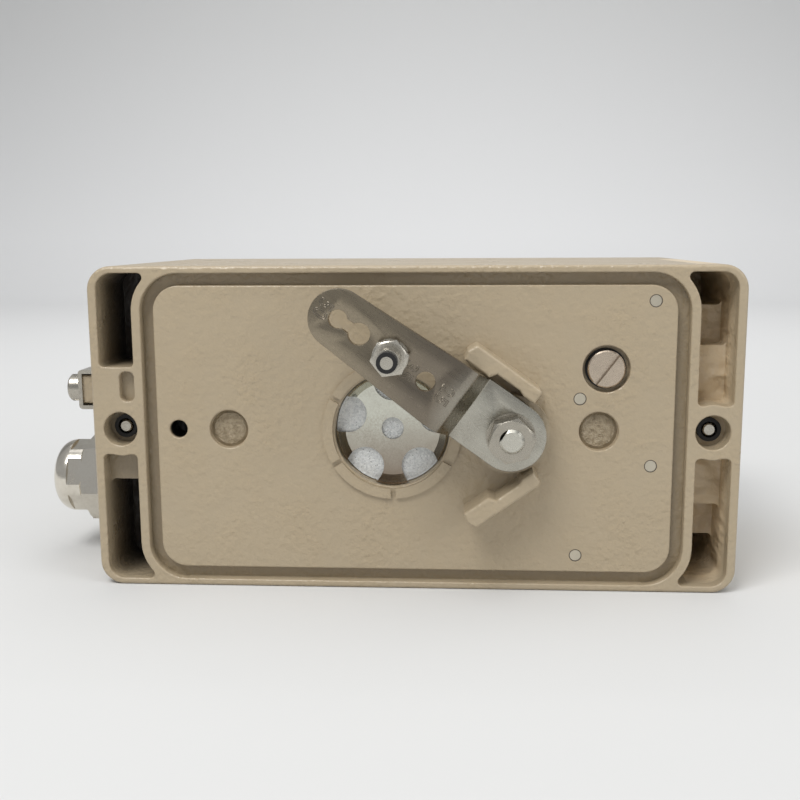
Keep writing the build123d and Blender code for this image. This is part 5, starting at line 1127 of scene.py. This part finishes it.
@dataclass
class OperatorSide(Assembly):
    """The panel, display and controls under the cover."""

    screen_w: float = 46.0 * MM
    screen_h: float = 22.0 * MM
    screen_t: float = 0.4 * MM
    glass_gap: float = 0.02 * MM
    digit_w: float = 5.4 * MM
    digit_h: float = 10.0 * MM
    bar: float = 0.55 * MM
    shown: str = "50.0"

    def build(self) -> None:
        """Dresses the controls and adds the screen."""
        self.dress(Look.PANEL, ["operator_panel"])
        self.dress(Look.BLACK, ["display_frame", "rotary_knob", "encoder_body", "button_switch", "changeover_body"])
        self.dress(Look.WHITE, ["init_button", "changeover_slider"])
        self.dress(Look.STEEL, ["encoder_shaft", "panel_screws"])
        self.dress(Look.CLEAR, ["display_glass"])
        self.screen()

    def screen(self) -> None:
        """Adds the liquid crystal screen and its digits behind the glass."""
        low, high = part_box("display_glass")
        centre = (low + high) / 2
        face = low.y - self.glass_gap
        mesh = bmesh.new()
        bmesh.ops.create_cube(mesh, size=1.0)
        bmesh.ops.scale(mesh, verts=mesh.verts, vec=(self.screen_w, self.screen_t, self.screen_h))
        bmesh.ops.bevel(mesh, geom=mesh.edges[:], offset=0.05 * MM, segments=2, profile=0.5, affect="EDGES")
        bmesh.ops.translate(mesh, verts=mesh.verts, vec=(centre.x, face - self.screen_t / 2, centre.z))
        self.add("screen_face", mesh, Look.SCREEN, "case", "clear_window")
        ink = bmesh.new()
        cursor = -1.5 * self.digit_w * 1.35
        for sign in self.shown:
            if sign == ".":
                self.dot(ink, cursor - self.digit_w * 0.68)
                continue
            self.digit(ink, int(sign), cursor)
            cursor += self.digit_w * 1.45
        ink.transform(lay((centre.x, face, centre.z), Vector((-1.0, 0.0, 0.0)), Vector((0.0, 0.0, 1.0))))
        self.add("screen_digits", ink, Look.INK, "case", "clear_window")

    def dot(self, mesh: bmesh.types.BMesh, x: float) -> None:
        """Adds the decimal point."""
        spot = Matrix.Translation((x, -self.digit_h / 2, 0.0))
        bmesh.ops.create_circle(mesh, cap_ends=True, segments=20, radius=self.bar, matrix=spot)

    def digit(self, mesh: bmesh.types.BMesh, value: int, x: float) -> None:
        """Adds one seven-bar digit.

        Args:
            mesh: the mesh that gets it.
            value: the digit.
            x: where its middle is.
        """
        half_w, half_h = self.digit_w / 2, self.digit_h / 2
        bars = {
            "a": Segment(0.0, half_h, False),
            "b": Segment(half_w, half_h / 2, True),
            "c": Segment(half_w, -half_h / 2, True),
            "d": Segment(0.0, -half_h, False),
            "e": Segment(-half_w, -half_h / 2, True),
            "f": Segment(-half_w, half_h / 2, True),
            "g": Segment(0.0, 0.0, False),
        }
        lit = ("abcdef", "bc", "abged", "abgcd", "fgbc", "afgcd", "afgedc", "abc", "abcdefg", "abcdfg")[value]
        for key in lit:
            bar = bars[key]
            made = bmesh.ops.create_circle(mesh, cap_ends=True, segments=6, radius=self.bar)["verts"]
            reach = (half_h if bar.upright else self.digit_w) / 2 - self.bar * 1.1
            for vert in made:
                vert.co.x += reach if vert.co.x > 1e-9 else -reach
            if bar.upright:
                bmesh.ops.rotate(mesh, verts=made, cent=(0.0, 0.0, 0.0), matrix=Matrix.Rotation(math.pi / 2, 3, "Z"))
            bmesh.ops.translate(mesh, verts=made, vec=(x + bar.x, bar.y, 0.0))


@dataclass
class Electronics(Assembly):
    """The circuit board with what it carries."""

    def build(self) -> None:
        """Dresses the board and its parts."""
        self.dress(Look.BOARD, ["main_board"])
        self.dress(Look.BLACK, ["board_components", "position_sensor"])
        self.dress(Look.GREEN, ["terminal_block"])
        self.dress(Look.STEEL, ["board_screws", "terminal_screws"])


@dataclass
class Pneumatics(Assembly):
    """The air blocks beside the board."""

    def build(self) -> None:
        """Dresses the air blocks and their screws."""
        self.dress(Look.CAST_ALLOY, ["pressure_converter", "air_booster", "booster_cap"])
        self.dress(Look.BRASS, ["supply_regulator", "restrictor_screw"])
        self.dress(Look.STEEL, ["block_screws"])


# ---- stage


@dataclass
class Studio:
    """Floor, backdrop, light and camera."""

    floor_z: float = -0.041
    lens: float = 45.65
    eye: tuple[float, float, float] = (0.01235, -0.24815, 0.04784)
    yaw: float = math.radians(-3.511)
    pitch: float = math.radians(9.138)
    roll: float = math.radians(-0.279)

    def build(self) -> None:
        """Sets the whole stage."""
        scene = bpy.context.scene
        scene.view_settings.view_transform = "Standard"
        self.backdrop()
        self.world()
        part = (0.0, 0.03, 0.0)
        self.light("key_light", (-0.35, -0.55, 0.95), part, 0.5, 8.8)
        self.light("top_light", (0.1, 0.15, 1.0), part, 1.0, 3.2)
        self.light("side_light", (0.9, -0.5, 0.5), part, 0.6, 2.8)
        self.light("backdrop_light", (0.0, 0.7, 0.95), (0.0, 1.6, 0.15), 1.0, 4.2)
        scene.camera = self.camera()

    def backdrop(self) -> None:
        """Makes the floor that sweeps up behind the part, with painted light falloff on its paper."""
        mesh = bmesh.new()
        bend, back, top = 0.5, 1.1, 2.2
        profile = [(-2.5, 0.0), (back, 0.0)]
        profile += [
            (back + bend * math.sin(turn), bend * (1.0 - math.cos(turn)))
            for turn in (math.radians(step) for step in range(6, 91, 6))
        ]
        profile.append((back + bend, top))
        corners = [mesh.verts.new((-3.0, y, self.floor_z + z)) for y, z in profile]
        edges = [mesh.edges.new(pair) for pair in zip(corners, corners[1:])]
        swept = bmesh.ops.extrude_edge_only(mesh, edges=edges)
        far = [item for item in swept["geom"] if isinstance(item, bmesh.types.BMVert)]
        bmesh.ops.translate(mesh, verts=far, vec=(6.0, 0.0, 0.0))
        data = bpy.data.meshes.new("backdrop")
        mesh.to_mesh(data)
        mesh.free()
        data.polygons.foreach_set("use_smooth", [True] * len(data.polygons))
        sweep = bpy.data.objects.new("backdrop", data)
        bpy.context.scene.collection.objects.link(sweep)
        material = bpy.data.materials.new("backdrop_paper")
        material.use_nodes = True
        graph = Graph(material.node_tree)
        shader = material.node_tree.nodes["Principled BSDF"]
        where = graph.node("ShaderNodeTexCoord").outputs["Object"]
        parts = graph.node("ShaderNodeSeparateXYZ", {0: where}).outputs
        # Painted light falloff: the floor is darker near the part and lighter further off, and the wall darkens as it
        # rises.
        painted_floor_falloff = graph.remap(parts[1], 0.1, 1.2, 0.0, 1.0)
        painted_wall_falloff = graph.remap(parts[2], 0.05, 0.62, 0.0, 1.0)
        tone = graph.mix(painted_wall_falloff, graph.mix(painted_floor_falloff, srgb(214, 214, 213), srgb(234, 234, 234)), srgb(196, 196, 195))
        graph.tree.links.new(tone, shader.inputs["Base Color"])
        shader.inputs["Roughness"].default_value = 0.9
        shader.inputs["Specular IOR Level"].default_value = 0.1
        data.materials.append(material)

    def world(self) -> None:
        """Lights the room evenly."""
        world = bpy.data.worlds.new("room")
        world.use_nodes = True
        shade = world.node_tree.nodes["Background"]
        shade.inputs["Color"].default_value = srgb(238, 240, 242)
        shade.inputs["Strength"].default_value = 0.45
        bpy.context.scene.world = world

    def light(
        self,
        name: str,
        spot: tuple[float, float, float],
        aim: tuple[float, float, float],
        size: float,
        power: float,
    ) -> None:
        """Adds a soft square light.

        Args:
            name: the light's name.
            spot: where it stands.
            aim: where it points.
            size: its side.
            power: its power in watts.
        """
        data = bpy.data.lights.new(name, "AREA")
        data.size = size
        data.energy = power
        made = bpy.data.objects.new(name, data)
        made.location = spot
        made.rotation_mode = "QUATERNION"
        made.rotation_quaternion = (Vector(aim) - Vector(spot)).to_track_quat("-Z", "Y")
        bpy.context.scene.collection.objects.link(made)

    def camera(self) -> bpy.types.Object:
        """Places the camera at the photograph's angle.

        Returns:
            The camera.
        """
        ahead = Vector(
            (
                math.sin(self.yaw) * math.cos(self.pitch),
                math.cos(self.yaw) * math.cos(self.pitch),
                -math.sin(self.pitch),
            )
        )
        right = Vector((math.cos(self.yaw), -math.sin(self.yaw), 0.0))
        up = right.cross(ahead)
        level, tilt = math.cos(self.roll), math.sin(self.roll)
        right, up = level * right + tilt * up, level * up - tilt * right
        data = bpy.data.cameras.new("photo_camera")
        data.lens = self.lens
        data.clip_start = 0.01
        made = bpy.data.objects.new("photo_camera", data)
        made.matrix_world = Matrix.Translation(Vector(self.eye)) @ Matrix((right, up, -ahead)).transposed().to_4x4()
        bpy.context.scene.collection.objects.link(made)
        return made


def main() -> None:
    """Builds the whole scene in order."""
    logging.basicConfig(level=logging.INFO, format="%(message)s")
    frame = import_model()
    paints = Paintbox()
    for maker in (Case, Vent, FeedbackLever, CableEntry, FrontCover, OperatorSide, Electronics, Pneumatics):
        group = maker(frame["nodes"], paints)
        group.build()
        group.report()
    Studio().build()


if __name__ == "__main__":
    main()
